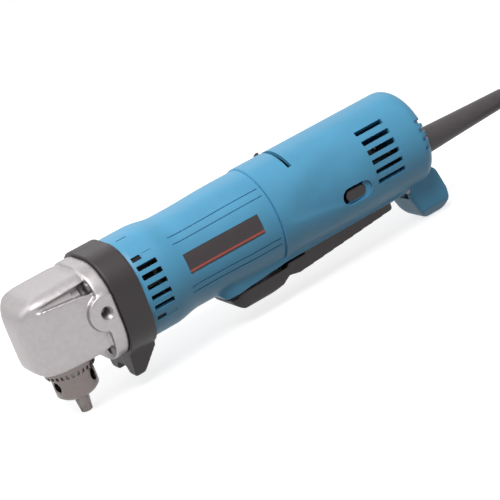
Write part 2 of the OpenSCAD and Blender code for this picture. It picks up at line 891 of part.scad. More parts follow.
module lug_outline() {
    polygon(rounded([
        [lug_front_x, axis_h - cover_r + cover_wall * 2, 0],
        [lug_front_x + loose, lug_slot_h - gap, lug_corners[0]],
        [lug_front_x + lug_half_w * 0.55, 0, lug_corners[1]],
        [lug_back_x - lug_half_w * 0.1, 0, lug_corners[2]], [lug_back_x, lug_half_w, lug_corners[3]],
        [rear_x + lug_half_w * 0.45, axis_h - cover_r * 0.72, lug_corners[4]],
        [rear_x - edge_round, axis_h - cover_r * 0.6, 0], [lug_front_x, axis_h - cover_r * 0.6, 0]]));
}

module lug_section() {
    polygon(rounded([
        [-lug_half_w - over, axis_h, 0], [-lug_half_w - over, lug_foot_h, lug_foot_round],
        [-lug_foot_half_w, 0, lug_foot_round], [lug_foot_half_w, 0, lug_foot_round],
        [lug_half_w + over, lug_foot_h, lug_foot_round], [lug_half_w + over, axis_h, 0]]));
}

// The covers' round form, as it is or drawn in by a wall
module cover_skin(wall) {
    turned_x(concat([[0, seam_x - wall], [cover_r - wall, seam_x - wall]],
        [for (p = arc(edge_round - wall, 0, 90, arc_steps))
            [cover_r - edge_round + p.x, rear_x - edge_round + p.y]],
        [[0, rear_x - wall]]), axis_h);
}

module cover_skirt() {
    translate([0, 0, skirt_rear_h]) linear_extrude(axis_h - cover_r * 0.7 - skirt_rear_h) polygon(rounded([
        [seam_x, -skirt_half_w, 0], [hinge_x, -skirt_half_w, skirt_back_round],
        [hinge_x, skirt_half_w, skirt_back_round], [seam_x, skirt_half_w, 0]]));
}

module lever_slot() {
    block([seam_x - over, -lever_half_w - slot_play, 0],
          [lever_wide_x + slot_play, lever_half_w + slot_play, axis_h - stator_seat_r * 0.75]);
    block([lever_wide_x, -lug_slot_half_w, lug_slot_h],
          [hinge_x + hinge_boss_r + 2 * loose, lug_slot_half_w, saddle_low - 2 * loose]);
}

module saddle() {
    block([clamp_x, -cover_r * 0.75, saddle_low], [clamp_x + clamp_len, cover_r * 0.75, cord_h - fit]);
}

module switch_ribs() {
    for (x = [switch_x + gap, switch_x + switch_len - switch_rib_len - gap]) both_sides()
        block([x, -cover_r * 0.9, switch_rib_low],
              [x + switch_rib_len, -switch_half_w - fit, switch_rib_low + switch_rib_tall]);
}

module covers() {
    difference() {
        union() {
            difference() {
                union() {
                    cover_skin(0);
                    cover_skirt();
                    difference() {
                        intersection() {
                            across_y(-lug_half_w, 2 * lug_half_w) lug_outline();
                            along_x(lug_front_x - over, far) lug_section();
                        }
                        rod_x(lug_front_x - over, far, cover_r - cover_wall, axis_h);
                    }
                }
                cover_skin(cover_wall);
            }
            intersection() {
                union() {
                    saddle();
                    switch_ribs();
                    for (p = cover_screws_at) rod_y(p[0], -cover_r, 2 * cover_r, cover_boss_r, p[1]);
                    oval_y(button_x, -cover_r, cover_r - recess_back, recess_len + cover_wall,
                           recess_tall + cover_wall, button_h);
                }
                rod_x(seam_x, cover_len - cover_wall, cover_r - gap, axis_h);
            }
        }
        lever_slot();
        rod_y(hinge_x, -lug_half_w - over, 2 * (lug_half_w + over), hinge_r + fit / 2, hinge_h);
        rod_x(clamp_x - over, far, cord_d / 2 + fit, cord_h);
        rod_x(rear_x - cover_wall - over, far, guard_groove_r + fit, cord_h);
        both_sides() translate([0, clamp_screw_y, cord_h + cord_d / 2 + clamp_t - clamp_screw_len])
            translate([clamp_x + clamp_len / 2, 0, 0]) cylinder(h = far, r = clamp_screw_r + fit);
        both_sides() for (a = rear_vent_angles)
            wall_cut(rear_vent_x, rear_vent_len, vent_w, a, vent_root_r, vent_reach);
        both_sides() for (a = notch_angles)
            wall_cut(rear_x - notch_len, notch_len + over, notch_w, a, cover_r - notch_depth, vent_reach);
        translate([0, 0, axis_h]) along_x(reverse_x - reverse_slot_w / 2, reverse_slot_w)
            polygon(sector(vent_root_r, vent_reach, 90 - reverse_slot_half, 90 + reverse_slot_half, 12));
        oval_y(button_x, -vent_reach, vent_reach - recess_floor, recess_len, recess_tall, button_h);
        oval_y(button_x, -vent_reach, vent_reach - button_root,
               button_len + 2 * gap, button_tall + 2 * gap, button_h);
        for (p = all_cover_screws) {
            rod_y(p[0], -cover_screw_len / 2, cover_screw_len + cover_r, cover_screw_r + fit, p[1]);
            rod_y(p[0], screw_seat_y(p), cover_r, cover_head_r + gap, p[1]);
        }
    }
}

module rear_cover_left() {
    color(blue_plastic) intersection() {
        covers();
        block([0, -vent_reach, -over], [2 * far, 0, 2 * axis_h]);
    }
}

module rear_cover_right() {
    color(blue_plastic) intersection() {
        covers();
        block([0, 0, -over], [2 * far, vent_reach, 2 * axis_h]);
    }
}

// Fasteners
module cross_slot(r, t) {
    for (a = [0, 90]) rotate([0, 0, a]) block([-r * 0.6, -r * 0.14, t / 2], [r * 0.6, r * 0.14, t + over]);
}

module pan_screw(r, length, head_r, head_t) {
    difference() {
        union() {
            translate([0, 0, -length]) cylinder(h = length, r = r);
            cylinder(h = head_t, r1 = head_r, r2 = head_r * 0.8);
        }
        cross_slot(head_r, head_t);
    }
}

module flange_screws() {
    color(dark_steel) at_flange_screws() translate([flange_x, 0, 0]) rotate([0, -90, 0])
        pan_screw(screw_r, screw_len, screw_head_r, screw_head_t);
}

module cover_screws() {
    color(dark_steel) for (p = all_cover_screws) translate([p[0], screw_seat_y(p), p[1]]) rotate([-90, 0, 0])
        pan_screw(cover_screw_r, min(cover_screw_len, screw_seat_y(p) + cover_screw_len / 2 - fit),
                  cover_head_r, cover_head_t);
}

module cord_clamp_screws() {
    color(steel) both_sides()
        translate([clamp_x + clamp_len / 2, clamp_screw_y, cord_h + cord_d / 2 + clamp_t])
            pan_screw(clamp_screw_r, clamp_screw_len - fit, clamp_head_r, clamp_head_t);
}

// Bearings, bushes and seals
module bearing_outer_races() {
    color(steel) {
        each_bearing_x() outer_race(small_bearing);
        on_x(counter_bearing_x, counter_h) outer_race(small_bearing);
        translate([0, 0, spindle_bearing_h]) outer_race(spindle_bearing);
    }
}

module bearing_balls() {
    color(steel) {
        each_bearing_x() balls(small_bearing);
        on_x(counter_bearing_x, counter_h) balls(small_bearing);
        translate([0, 0, spindle_bearing_h]) balls(spindle_bearing);
    }
}

module spindle_top_bush() {
    color(bronze) tube_z(top_bush_h, top_bush_len, top_bush_r, journal_r + fit);
}

module countershaft_bush() {
    color(bronze) tube_x(bush_x, counter_bush_len - fit, counter_bush_r, rear_journal_r + fit, counter_h);
}

module retaining_ring() {
    color(dark_steel) tube_z(ring_h, ring_t, cavity_r - gap, spindle_bearing[1] - race_t(spindle_bearing));
}

module spindle_seal() {
    color(rubber_black)
        tube_z(seal_h, seal_t, spindle_bearing[1] - race_t(spindle_bearing) - fit, shoulder_r + gap / 2);
}

// Motor, fixed parts
coil_bed = 2.2;
yoke_t = 4;
coil_in_r = armature_r + coil_bed;
coil_out = stator_seat_r - yoke_t;
window_half = 18;
coil_half = 15;

module stator_core() {
    color(dark_steel) along_x(stator_x, stator_len) translate([0, axis_h]) difference() {
        circle(stator_seat_r - gap / 2);
        circle(armature_r + air_gap);
        for (a = [45, 135, 225, 315])
            polygon(sector(coil_in_r - gap, coil_out + gap, a - window_half, a + window_half, arc_steps));
    }
}

module field_coil(middle) {
    color(copper) {
        for (x = [stator_x - coil_end_len, stator_x + stator_len])
            along_x(x, coil_end_len) translate([0, axis_h])
                polygon(sector(coil_in_r, coil_out, middle - 45 - coil_half, middle + 45 + coil_half,
                               4 * arc_steps));
        for (a = [middle - 45, middle + 45])
            along_x(stator_x - over, stator_len + 2 * over) translate([0, axis_h])
                polygon(sector(coil_in_r, coil_out, a - coil_half, a + coil_half, arc_steps));
    }
}

module field_coil_upper() {
    field_coil(90);
}

module field_coil_lower() {
    field_coil(270);
}

holder_gap = 1.5;
holder_y = commutator_r + holder_gap;
brush_half_w = brush_w / 2 + holder_t;
brush_half_tall = brush_tall / 2 + holder_t;

module brush_carrier() {
    color(black_plastic) difference() {
        union() {
            rod_x(carrier_x, carrier_t, stator_seat_r - gap / 2, axis_h);
            rod_x(seam_x + fit, carrier_x + carrier_t - seam_x - fit, cover_r - cover_wall - gap / 2, axis_h);
            both_sides() block(
                [brush_x - brush_half_w, -holder_y - holder_len * 0.88,
                 axis_h - brush_half_tall - carrier_arm_t],
                [carrier_x + fit, -holder_y, axis_h - brush_half_tall]);
        }
        rod_x(carrier_x - over, far, shaft_r + loose, axis_h);
        rod_x(rear_bearing_x, far, small_bearing[1] + fit / 2, axis_h);
        for (a = [0:60:300]) translate([0, 0, axis_h]) rotate([a, 0, 0])
            rod_x(carrier_x - over, far, screw_boss_r, stator_seat_r * 0.68);
    }
}

module brush_holders() {
    color(brass_metal) both_sides() difference() {
        block([brush_x - brush_half_w, -holder_y - holder_len, axis_h - brush_half_tall],
              [brush_x + brush_half_w, -holder_y, axis_h + brush_half_tall]);
        block([brush_x - brush_w / 2, -holder_y - holder_len + holder_t, axis_h - brush_tall / 2],
              [brush_x + brush_w / 2, over - holder_y, axis_h + brush_tall / 2]);
    }
}

module carbon_brushes() {
    face = commutator_r + fit;
    color(carbon) both_sides() difference() {
        block([brush_x - brush_w / 2 + fit, -face - brush_len, axis_h - brush_tall / 2 + fit],
              [brush_x + brush_w / 2 - fit, -commutator_r * 0.5, axis_h + brush_tall / 2 - fit]);
        rod_x(brush_x - brush_w, 2 * brush_w, face, axis_h);
    }
}

module brush_springs() {
    foot = commutator_r + brush_len + 2 * fit + brush_spring_wire_r;
    head = holder_y + holder_len - holder_t - brush_spring_wire_r - fit;
    path = helix(brush_spring_r, foot, head, brush_spring_turns);
    color(steel) both_sides() translate([brush_x, 0, axis_h]) rotate([90, 0, 0])
        polyhedron(tube_points(path, brush_spring_wire_r, coil_sides), tube_faces(len(path), coil_sides));
}

// Switch group
module switch_body() {
    color(black_plastic) difference() {
        across_y(-switch_half_w, 2 * switch_half_w) polygon(rounded([
            [switch_x, switch_h, switch_round], [switch_x + switch_len, switch_h, switch_round],
            [switch_x + switch_len, switch_h + switch_tall, switch_round],
            [switch_x, switch_h + switch_tall, switch_round]]));
        translate([plunger_x, 0, switch_h - over])
            cylinder(h = plunger_depth + over, r = plunger_r + plunger_play);
    }
}

module suppressor() {
    color([0.75, 0.62, 0.2]) across_y(-suppressor_half_w, 2 * suppressor_half_w) polygon(rounded([
        [switch_x + loose, switch_h + switch_tall, 0], [switch_x + suppressor_len, switch_h + switch_tall, 0],
        [switch_x + suppressor_len, switch_h + switch_tall + suppressor_t, suppressor_round],
        [switch_x + loose, switch_h + switch_tall + suppressor_t, suppressor_round]]));
}

module lever_spring() {
    path = helix(spring_r, spring_foot_h, switch_h - spring_wire_r - fit, spring_turns);
    color(steel) translate([spring_x, 0, 0])
        polyhedron(tube_points(path, spring_wire_r, coil_sides), tube_faces(len(path), coil_sides));
}

module lever_pin() {
    color(steel) rod_y(hinge_x, -lug_half_w + gap, 2 * (lug_half_w - gap), hinge_r, hinge_h);
}

lever_tail_h = hinge_h - hinge_boss_r * 0.55;

module lever_side(inset, rise) {
    polygon(rounded(concat(
        [[lever_front_x + inset, lever_tall_h - lever_lift + rise, 0],
         [lever_front_x + lever_nose_run + inset, lever_pad_h + inset, lever_nose_round]],
        [for (p = lever_wave) [seam_x + p.x, lever_pad_h + p.y + inset, p.z]],
        [[hinge_x - inset, lever_tail_h + inset, 0], [hinge_x - inset, lever_tall_h + rise, 0],
         [lever_tall_x + inset, lever_tall_h + rise, 0],
         [lever_tall_x + inset, lever_tall_h - lever_lift + rise, 0]])));
}

module switch_lever() {
    color(black_plastic) difference() {
        union() {
            difference() {
                intersection() {
                    across_y(-lever_half_w, 2 * lever_half_w) lever_side(0, 0);
                    linear_extrude(axis_h) polygon(rounded([
                        [lever_front_x, -lever_half_w, lever_front_round],
                        [lever_wide_x, -lever_half_w, lever_back_round],
                        [lever_wide_x, -lever_tail_half_w, 0], [hinge_x, -lever_tail_half_w, 0],
                        [hinge_x, lever_tail_half_w, 0], [lever_wide_x, lever_tail_half_w, 0],
                        [lever_wide_x, lever_half_w, lever_back_round],
                        [lever_front_x, lever_half_w, lever_front_round]]));
                    along_x(lever_front_x - over, far) polygon(rounded([
                        [-lever_half_w, lever_pad_h - gap, lever_edge_round],
                        [lever_half_w, lever_pad_h - gap, lever_edge_round],
                        [lever_half_w, axis_h, 0], [-lever_half_w, axis_h, 0]]));
                }
                intersection() {
                    across_y(-lever_half_w + lever_wall, 2 * (lever_half_w - lever_wall))
                        lever_side(lever_wall, over);
                    block([0, -lever_half_w, 0], [lever_wide_x - lever_wall, lever_half_w, axis_h]);
                }
                rod_x(0, seam_x + over, grip_r + gap * 2, axis_h - lever_lift);
                rod_x(seam_x, lever_tall_x - seam_x, cover_r - cover_wall + gap, axis_h - lever_lift);
            }
            rod_y(hinge_x, -lever_tail_half_w, 2 * lever_tail_half_w, hinge_boss_r, hinge_h);
            block([plunger_x - post_half, -post_half, lever_pad_h + lever_lift + lever_wall],
                  [plunger_x + post_half, post_half, post_h]);
        }
        rod_y(hinge_x, -cover_r, 2 * cover_r, hinge_r + fit, hinge_h);
    }
}

module switch_plunger() {
    color(black_plastic) translate([plunger_x, 0, post_h])
        cylinder(h = switch_h + plunger_r - post_h, r = plunger_r);
}

module lock_button() {
    color(black_plastic) {
        oval_y(button_x, -button_face, button_face - button_root, button_len, button_tall, button_h);
        oval_y(button_x, -button_flange_y, button_flange_t, button_len + 2 * button_rim,
               button_tall + 2 * button_rim, button_h);
    }
}

module reverse_lever() {
    band_r = cover_r - cover_wall - gap;
    middle = 90 - reverse_rest;
    color(black_plastic) translate([0, 0, axis_h]) along_x(reverse_x - reverse_t / 2, reverse_t) {
        polygon(sector(band_r - reverse_band_t, band_r, middle - reverse_band_half,
                       middle + reverse_band_half, 4 * arc_steps));
        polygon(sector(band_r - reverse_band_t, cover_r + reverse_knob_rise,
                       middle - reverse_knob_half, middle + reverse_knob_half, arc_steps));
    }
}

// Cord group
module cord_clamp() {
    color(black_plastic) difference() {
        block([clamp_x, -clamp_half_w, cord_h + fit],
              [clamp_x + clamp_len, clamp_half_w, cord_h + cord_d / 2 + clamp_t]);
        rod_x(clamp_x - over, clamp_len + 2 * over, cord_d / 2 + fit, cord_h);
        both_sides() translate([clamp_x + clamp_len / 2, clamp_screw_y, 0])
            cylinder(h = far, r = clamp_screw_r + fit);
    }
}

module cord_guard() {
    wall_in = rear_x - cover_wall - fit;
    color(rubber_black) {
        turned_x(concat(
            [[0, wall_in - guard_flange_t], [guard_flange_r, wall_in - guard_flange_t],
             [guard_flange_r, wall_in], [guard_groove_r, wall_in],
             [guard_groove_r, rear_x + fit], [guard_r, rear_x + fit]],
            [for (s = [guard_mid_share, 1]) [guard_r + (guard_tip_r - guard_r) * s, rear_x + guard_len * s]],
            [[0, guard_x]]), cord_h);
        rod_x(stub_x, rear_x - cover_wall - stub_x, cord_d / 2, cord_h);
    }
}

module cord_lead() {
    color(rubber_black) polyhedron(tube_points(lead_route, cord_d / 2, lead_sides),
                                   tube_faces(len(lead_route), lead_sides));
}

module cord_coil() {
    color(rubber_black) polyhedron(tube_points(coil_path, cord_d / 2, coil_sides),
                                   tube_faces(len(coil_path), coil_sides));
}

// A strap round the bundle on the far side of the coil
module cord_tie() {
    inner = coil_out_r - coil_pitch * coil_leg - cord_d / 2 - gap;
    outer = coil_out_r + coil_pitch * climb_turns / 2 + cord_d / 2 + gap;
    top = tie_t + coil_rise * (coil_layers - 1) + cord_d + 2 * gap;
    color(black_plastic) translate([coil_centre.x, coil_centre.y, 0]) along_x_strap(inner, outer, top);
}

module along_x_strap(inner, outer, top) {
    difference() {
        block([inner - tie_t, -tie_w / 2, 0], [outer + tie_t, tie_w / 2, top + tie_t]);
        block([inner, -tie_w, tie_t], [outer, tie_w, top]);
    }
}

module plug_body() {
    color(rubber_black) translate([plug_x, plug_y, plug_h]) rotate([0, -90, 0]) difference() {
        union() {
            rotate_extrude() polygon([[0, 0], [plug_neck_r * 0.8, 0], [plug_neck_r, plug_neck_len],
                                      [0, plug_neck_len]]);
            translate([0, 0, plug_neck_len]) linear_extrude(plug_len - plug_neck_len)
                polygon(rounded_box(plug_h, plug_half_w, plug_h * 0.55));
        }
        for (y = [-pin_half_pitch, pin_half_pitch]) translate([0, y, plug_len - pin_hold])
            cylinder(h = plug_len, r = pin_r + fit / 2);
    }
}

module plug_pins() {
    color(brass_metal) translate([plug_x, plug_y, plug_h]) rotate([0, -90, 0])
        for (y = [-pin_half_pitch, pin_half_pitch]) translate([0, y, plug_len - pin_hold]) {
            cylinder(h = pin_hold + pin_len - pin_r, r = pin_r);
            translate([0, 0, pin_hold + pin_len - pin_r]) sphere(pin_r);
        }
}

// Motor, turning parts
module armature_shaft() {
    color(steel) {
        rod_x(spur_x, front_bearing_x - spur_x, rear_journal_r * 0.8, axis_h);
        rod_x(front_bearing_x, small_bearing[2] + loose, journal_r, axis_h);
        rod_x(front_bearing_x + small_bearing[2] + gap,
              rear_bearing_x - front_bearing_x - small_bearing[2] - 2 * gap, shaft_r, axis_h);
        rod_x(rear_bearing_x - loose, small_bearing[2] + 2 * loose, journal_r, axis_h);
    }
}

module motor_pinion() {
    color(steel) difference() {
        along_x(spur_x, spur_face) translate([0, axis_h])
            polygon(gear_outline(motor_pinion_teeth, spur_module, 90));
        rod_x(spur_x - over, spur_face + 2 * over, rear_journal_r * 0.8 + fit / 2, axis_h);
    }
}

slot_count = 12;
slot_r = 0.9;

module armature_core() {
    color(dark_steel) along_x(stator_x, stator_len) translate([0, axis_h]) difference() {
        circle(armature_r);
        circle(shaft_r + fit / 2);
        for (i = [0:slot_count - 1]) rotate(360 * i / slot_count)
            translate([armature_r * 0.72, -slot_r]) square([armature_r, 2 * slot_r]);
    }
}

module armature_windings() {
    color(copper) for (x = [stator_x - coil_end_len + loose, stator_x + stator_len])
        turned_x([[shaft_r + fit / 2, x], [winding_r * 0.7, x], [winding_r, x + coil_end_len * 0.35],
                  [winding_r, x + coil_end_len - loose],
                  [shaft_r + fit / 2, x + coil_end_len - loose]], axis_h);
}

segment_count = 22;
segment_gap = 0.5;

module commutator() {
    color(copper) along_x(commutator_x, commutator_len) translate([0, axis_h]) difference() {
        circle(commutator_r);
        circle(shaft_r + fit / 2);
        for (i = [0:segment_count - 1]) rotate(360 * i / segment_count)
            translate([commutator_r - 2 * segment_gap, -segment_gap / 2]) square([commutator_r, segment_gap]);
    }
}

module cooling_fan() {
    color(black_plastic) difference() {
        union() {
            rod_x(fan_x + fan_len - fan_disc_t, fan_disc_t, fan_r, axis_h);
            rod_x(fan_x, fan_len, fan_hub_r, axis_h);
            for (i = [0:blade_count - 1])
                translate([fan_x + loose, 0, axis_h]) rotate([360 * i / blade_count, 0, 0])
                    block([0, -blade_t / 2, fan_hub_r - loose],
                          [fan_len - fan_disc_t, blade_t / 2, fan_r - loose]);
        }
        rod_x(fan_x - over, fan_len + 2 * over, shaft_r + fit / 2, axis_h);
    }
}

module armature_bearing_inners() {
    color(steel) each_bearing_x() inner_race(small_bearing);
}

// Countershaft
module countershaft() {
    bevel_back_x = bevel_heel_x
        + bevel_module * tooth_ded_share * sin(atan(bevel_pinion_teeth / bevel_teeth));
    color(steel) {
        rod_x(bevel_back_x + fit, counter_bearing_x - bevel_back_x - fit, journal_r * 1.3, counter_h);
        rod_x(counter_bearing_x - loose / 2, small_bearing[2] + loose, journal_r, counter_h);
        rod_x(counter_bearing_x + small_bearing[2], spur_x + spur_face - counter_bearing_x - small_bearing[2],
              shaft_r, counter_h);
        rod_x(spur_x + spur_face - loose, bush_x + counter_bush_len - spur_x - spur_face,
              rear_journal_r, counter_h);
    }
}

module countershaft_gear() {
    color(steel) difference() {
        along_x(spur_x, spur_face) translate([0, counter_h])
            polygon(gear_outline(spur_teeth, spur_module, 90 + 180 / spur_teeth));
        rod_x(spur_x - over, spur_face + 2 * over, shaft_r + fit / 2, counter_h);
    }
}

module bevel_pinion() {
    n = 4 * bevel_pinion_teeth;
    toe = bevel_toe_share(bevel_pinion_teeth, bevel_teeth);
    heel_ring = bevel_ring(bevel_pinion_teeth, bevel_teeth, 1, 0);
    toe_ring = bevel_ring(bevel_pinion_teeth, bevel_teeth, toe, 0);
    heel_h = max([for (p = heel_ring) p.z]);
    toe_h = min([for (p = toe_ring) p.z]);
    points = concat(heel_ring, toe_ring, [[0, 0, heel_h], [0, 0, toe_h]]);
    faces = concat(
        band(0, 1, n),
        [for (k = [0:n - 1]) [2 * n, (k + 1) % n, k]],
        [for (k = [0:n - 1]) [2 * n + 1, n + k, n + (k + 1) % n]]);
    color(steel) translate([0, 0, counter_h]) rotate([0, 90, 0]) polyhedron(points, faces);
}

module countershaft_bearing_inner() {
    color(steel) on_x(counter_bearing_x, counter_h) inner_race(small_bearing);
}

// Spindle and chuck
module spindle() {
    color(steel) {
        rod_z(spindle_foot_h, chuck_top_h - spindle_foot_h + loose, spindle_r);
        rod_z(chuck_top_h, spindle_bearing_h - chuck_top_h, shoulder_r);
        rod_z(spindle_bearing_h - loose, spindle_bearing[2] + loose + ring_t, spindle_bearing[0]);
        rod_z(ring_h, gear_hub_h - ring_h, gear_seat_r);
        rod_z(gear_hub_h - loose, top_bush_h - gear_hub_h, spindle_neck_r);
        rod_z(top_bush_h - 2 * loose, top_bush_len + 2 * loose, journal_r);
    }
}

module bevel_gear() {
    n = 4 * bevel_teeth;
    half_pitch = 180 / bevel_teeth;
    toe = bevel_toe_share(bevel_teeth, bevel_pinion_teeth);
    heel_ring = bevel_ring(bevel_teeth, bevel_pinion_teeth, 1, half_pitch);
    toe_ring = bevel_ring(bevel_teeth, bevel_pinion_teeth, toe, half_pitch);
    back = counter_h - gear_back_h;
    front = counter_h - gear_hub_h;
    bore = gear_seat_r + fit;
    rim = bevel_heel_x * 0.9;
    points = concat(heel_ring, toe_ring, plain_ring(bore, front, n, half_pitch),
                    plain_ring(bore, back, n, half_pitch), plain_ring(rim, back, n, half_pitch));
    color(steel) translate([0, 0, counter_h]) rotate([180, 0, 0])
        polyhedron(points, loop_faces(len(points) / n, n));
}

module spindle_bearing_inner() {
    color(steel) translate([0, 0, spindle_bearing_h]) inner_race(spindle_bearing);
}

// Jaws lean out upward; the key holes lie between them
key_angle = 192;
jaw_angles = [key_angle - 180, key_angle - 60, key_angle + 60];
jaw_foot_step = 0.2;
jaw_foot_r = grip_bore_r + jaw_foot_step;
jaw_top_h = 29.4;
key_h = 20.5;
key_r = 3;
key_root_r = 7.6;
shank_r = 5.2;
shank_top_h = 24;
chamfer = 2.5;
nut_groove_r = 9.6;
chuck_back_r = 11;
nut_h = 26.6;
nut_t = 4;
sleeve_low_h = 25.9;
sleeve_tall = 7.3;
sleeve_wall = 1.3;
sleeve_teeth = 30;
sleeve_tooth_h = 2.4;
shoulder_h = sleeve_low_h - gap;
jaw_cone_low_r = 3.3;
jaw_cone_high_r = 4.5;
grip_len = 10;
jaw_split = 0.15;

function jaw_out_r(h) = jaw_foot_r + h * tan(jaw_lean) + jaw_r / cos(jaw_lean);

module jaw_rod(r, h0, h1) {
    translate([jaw_foot_r, 0, 0]) rotate([0, jaw_lean, 0])
        translate([0, 0, h0 / cos(jaw_lean)]) cylinder(h = (h1 - h0) / cos(jaw_lean), r = r);
}

module chuck_body() {
    color(steel) difference() {
        rotate_extrude() polygon([
            [0, nose_h], [nose_r - chamfer, nose_h], [nose_r, nose_h + chamfer], [nose_r, shoulder_h],
            [nut_groove_r, shoulder_h], [nut_groove_r, nut_h + nut_t + loose],
            [chuck_back_r, nut_h + nut_t + loose], [chuck_back_r, chuck_top_h], [0, chuck_top_h]]);
        rod_z(0, shank_top_h, shank_r);
        rod_z(shank_top_h, far, spindle_r + fit / 2);
        for (a = jaw_angles) rotate([0, 0, a]) jaw_rod(jaw_r + fit, 0, 2 * chuck_top_h);
        for (a = jaw_angles) rotate([0, 0, a + 180]) translate([key_root_r, 0, key_h]) rotate([0, 90, 0])
            cylinder(h = nose_r, r = key_r);
    }
}

module chuck_sleeve() {
    color(steel) difference() {
        rotate_extrude() polygon([
            [nose_r - loose, sleeve_low_h], [sleeve_r - loose, sleeve_low_h],
            [sleeve_r, sleeve_low_h + sleeve_tooth_h],
            [sleeve_r, sleeve_low_h + sleeve_tall], [sleeve_r - sleeve_wall, sleeve_low_h + sleeve_tall],
            [sleeve_r - sleeve_wall, nut_h], [nose_r - loose, nut_h]]);
        for (i = [0:sleeve_teeth - 1]) rotate([0, 0, 360 * i / sleeve_teeth])
            block([sleeve_r - sleeve_wall * 1.6, -sleeve_wall / 2, sleeve_low_h - over],
                  [sleeve_r + over, sleeve_wall / 2, sleeve_low_h + sleeve_tooth_h - gap]);
    }
}

module chuck_nut() {
    color(dark_steel) rotate_extrude() polygon([
        [jaw_out_r(nut_h) + gap, nut_h + fit], [sleeve_r - sleeve_wall - fit, nut_h + fit],
        [sleeve_r - sleeve_wall - fit, nut_h + nut_t], [jaw_out_r(nut_h + nut_t) + gap, nut_h + nut_t]]);
}

module chuck_jaw(angle) {
    reach = 2 * chuck_top_h;
    color(dark_steel) rotate([0, 0, angle]) difference() {
        intersection() {
            jaw_rod(jaw_r, -nose_h, jaw_top_h);
            linear_extrude(reach) polygon([
                [2 * jaw_split, 0], [jaw_split + reach * cos(60), reach * sin(60)],
                [reach, 0], [jaw_split + reach * cos(60), -reach * sin(60)]]);
            union() {
                rotate_extrude() polygon([[0, 0], [jaw_cone_low_r, 0], [jaw_cone_high_r, nose_h - gap],
                                          [0, nose_h - gap]]);
                rod_z(nose_h - 2 * gap, reach, reach);
            }
        }
        rod_z(-over, grip_len + over, grip_bore_r);
        rod_z(grip_len, reach, grip_bore_r + loose);
        translate([0, 0, jaw_top_h - loose]) rod_z(0, reach, reach);
    }
}

module chuck_jaw_1() {
    chuck_jaw(jaw_angles[0]);
}

module chuck_jaw_2() {
    chuck_jaw(jaw_angles[1]);
}

module chuck_jaw_3() {
    chuck_jaw(jaw_angles[2]);
}

gear_housing();
collar();
motor_housing();
rear_cover_left();
rear_cover_right();
badge_plate();
flange_screws();
cover_screws();
bearing_outer_races();
bearing_balls();
spindle_top_bush();
countershaft_bush();
retaining_ring();
spindle_seal();
stator_core();
field_coil_upper();
field_coil_lower();
brush_carrier();
brush_holders();
carbon_brushes();
brush_springs();
switch_body();
suppressor();
cord_clamp();
cord_clamp_screws();
cord_guard();
cord_lead();
cord_coil();
cord_tie();
plug_body();
plug_pins();
lever_pin();
lever_spring();
armature_shaft();
motor_pinion();
armature_core();
armature_windings();
commutator();
cooling_fan();
armature_bearing_inners();
countershaft();
countershaft_gear();
bevel_pinion();
countershaft_bearing_inner();
spindle();
bevel_gear();
spindle_bearing_inner();
chuck_body();
chuck_sleeve();
chuck_nut();
chuck_jaw_1();
chuck_jaw_2();
chuck_jaw_3();
switch_lever();
switch_plunger();
lock_button();
reverse_lever();
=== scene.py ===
"""Right angle drill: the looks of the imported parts, in metres, with +Z up and +X to the rear."""

import logging
import math
from dataclasses import dataclass, field
from enum import Enum
from typing import Callable, Sequence

import bmesh
import bpy
import numpy as np
from mathutils import Matrix, Vector


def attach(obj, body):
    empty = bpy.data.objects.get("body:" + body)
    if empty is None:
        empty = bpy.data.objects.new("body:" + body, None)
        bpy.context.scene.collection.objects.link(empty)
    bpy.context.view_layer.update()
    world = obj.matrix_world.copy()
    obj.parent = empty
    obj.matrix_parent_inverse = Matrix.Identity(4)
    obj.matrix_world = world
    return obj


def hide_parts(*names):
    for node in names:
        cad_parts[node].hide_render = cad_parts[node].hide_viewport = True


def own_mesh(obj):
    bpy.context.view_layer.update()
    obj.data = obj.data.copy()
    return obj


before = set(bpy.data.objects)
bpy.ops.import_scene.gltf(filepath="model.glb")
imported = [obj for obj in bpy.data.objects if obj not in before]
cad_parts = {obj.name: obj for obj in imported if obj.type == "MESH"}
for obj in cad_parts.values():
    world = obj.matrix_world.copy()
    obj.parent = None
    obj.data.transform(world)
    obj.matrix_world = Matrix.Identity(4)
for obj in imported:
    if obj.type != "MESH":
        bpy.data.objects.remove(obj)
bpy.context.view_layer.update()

LOG = logging.getLogger("drill")
MM = 0.001
MERGE_M = 1e-7
NODE_MERGE_M = 1e-6
TINY = 1e-9
LEAST_SINE = 1e-6
SIDES = (-1, 1)
ROD_STEPS = 64
FINE_STEPS = 192

# Places and sizes that several pieces share, in mm
AXIS_H = 51.0
FLANGE_X = 20.0
COLLAR_X = 28.5
MOTOR_X = 45.0
SEAM_X = 136.0
REAR_X = 246.0
COUNTER_H = 64.5
CORD_H = 41.0
HINGE_X = 229.0
SCREW_Y = 20.0
SCREW_DROP = 18.7
FLANGE_SCREWS = tuple((side * SCREW_Y, AXIS_H + up * SCREW_DROP) for side in SIDES for up in SIDES)
SCREW_HOLE_R = 2.3
BEARING_R = 9.53
SKIRT_HALF_W = 19.4
SKIRT_FOOT_H = 25.2
LEVER_ROOM_HALF_W = 17.8
SEAM_ROLL = 0.9
SEAM_RUN = 0.5
SKIRT_BLEND = 1.6

Point = tuple[float, float, float]
Flat = tuple[float, float]
Corner = tuple[float, float, float]
Spot = tuple[Point, Point]
Grain = tuple[float, int]
Body = bpy.types.Object
Material = bpy.types.Material


class Axis(Enum):
    """The way that an outline is drawn out, or the axis that a profile is turned round."""

    X = "x"
    Y = "y"
    Z = "z"

    def point(self, flat: Flat, along: float) -> Point:
        """Sets a flat point at a distance along this axis."""
        u, v = flat
        return {Axis.X: (along, u, v), Axis.Y: (u, along, v), Axis.Z: (u, v, along)}[self]


class Join(Enum):
    """How one solid acts on another."""

    CUT = "DIFFERENCE"
    ADD = "UNION"
    KEEP = "INTERSECT"


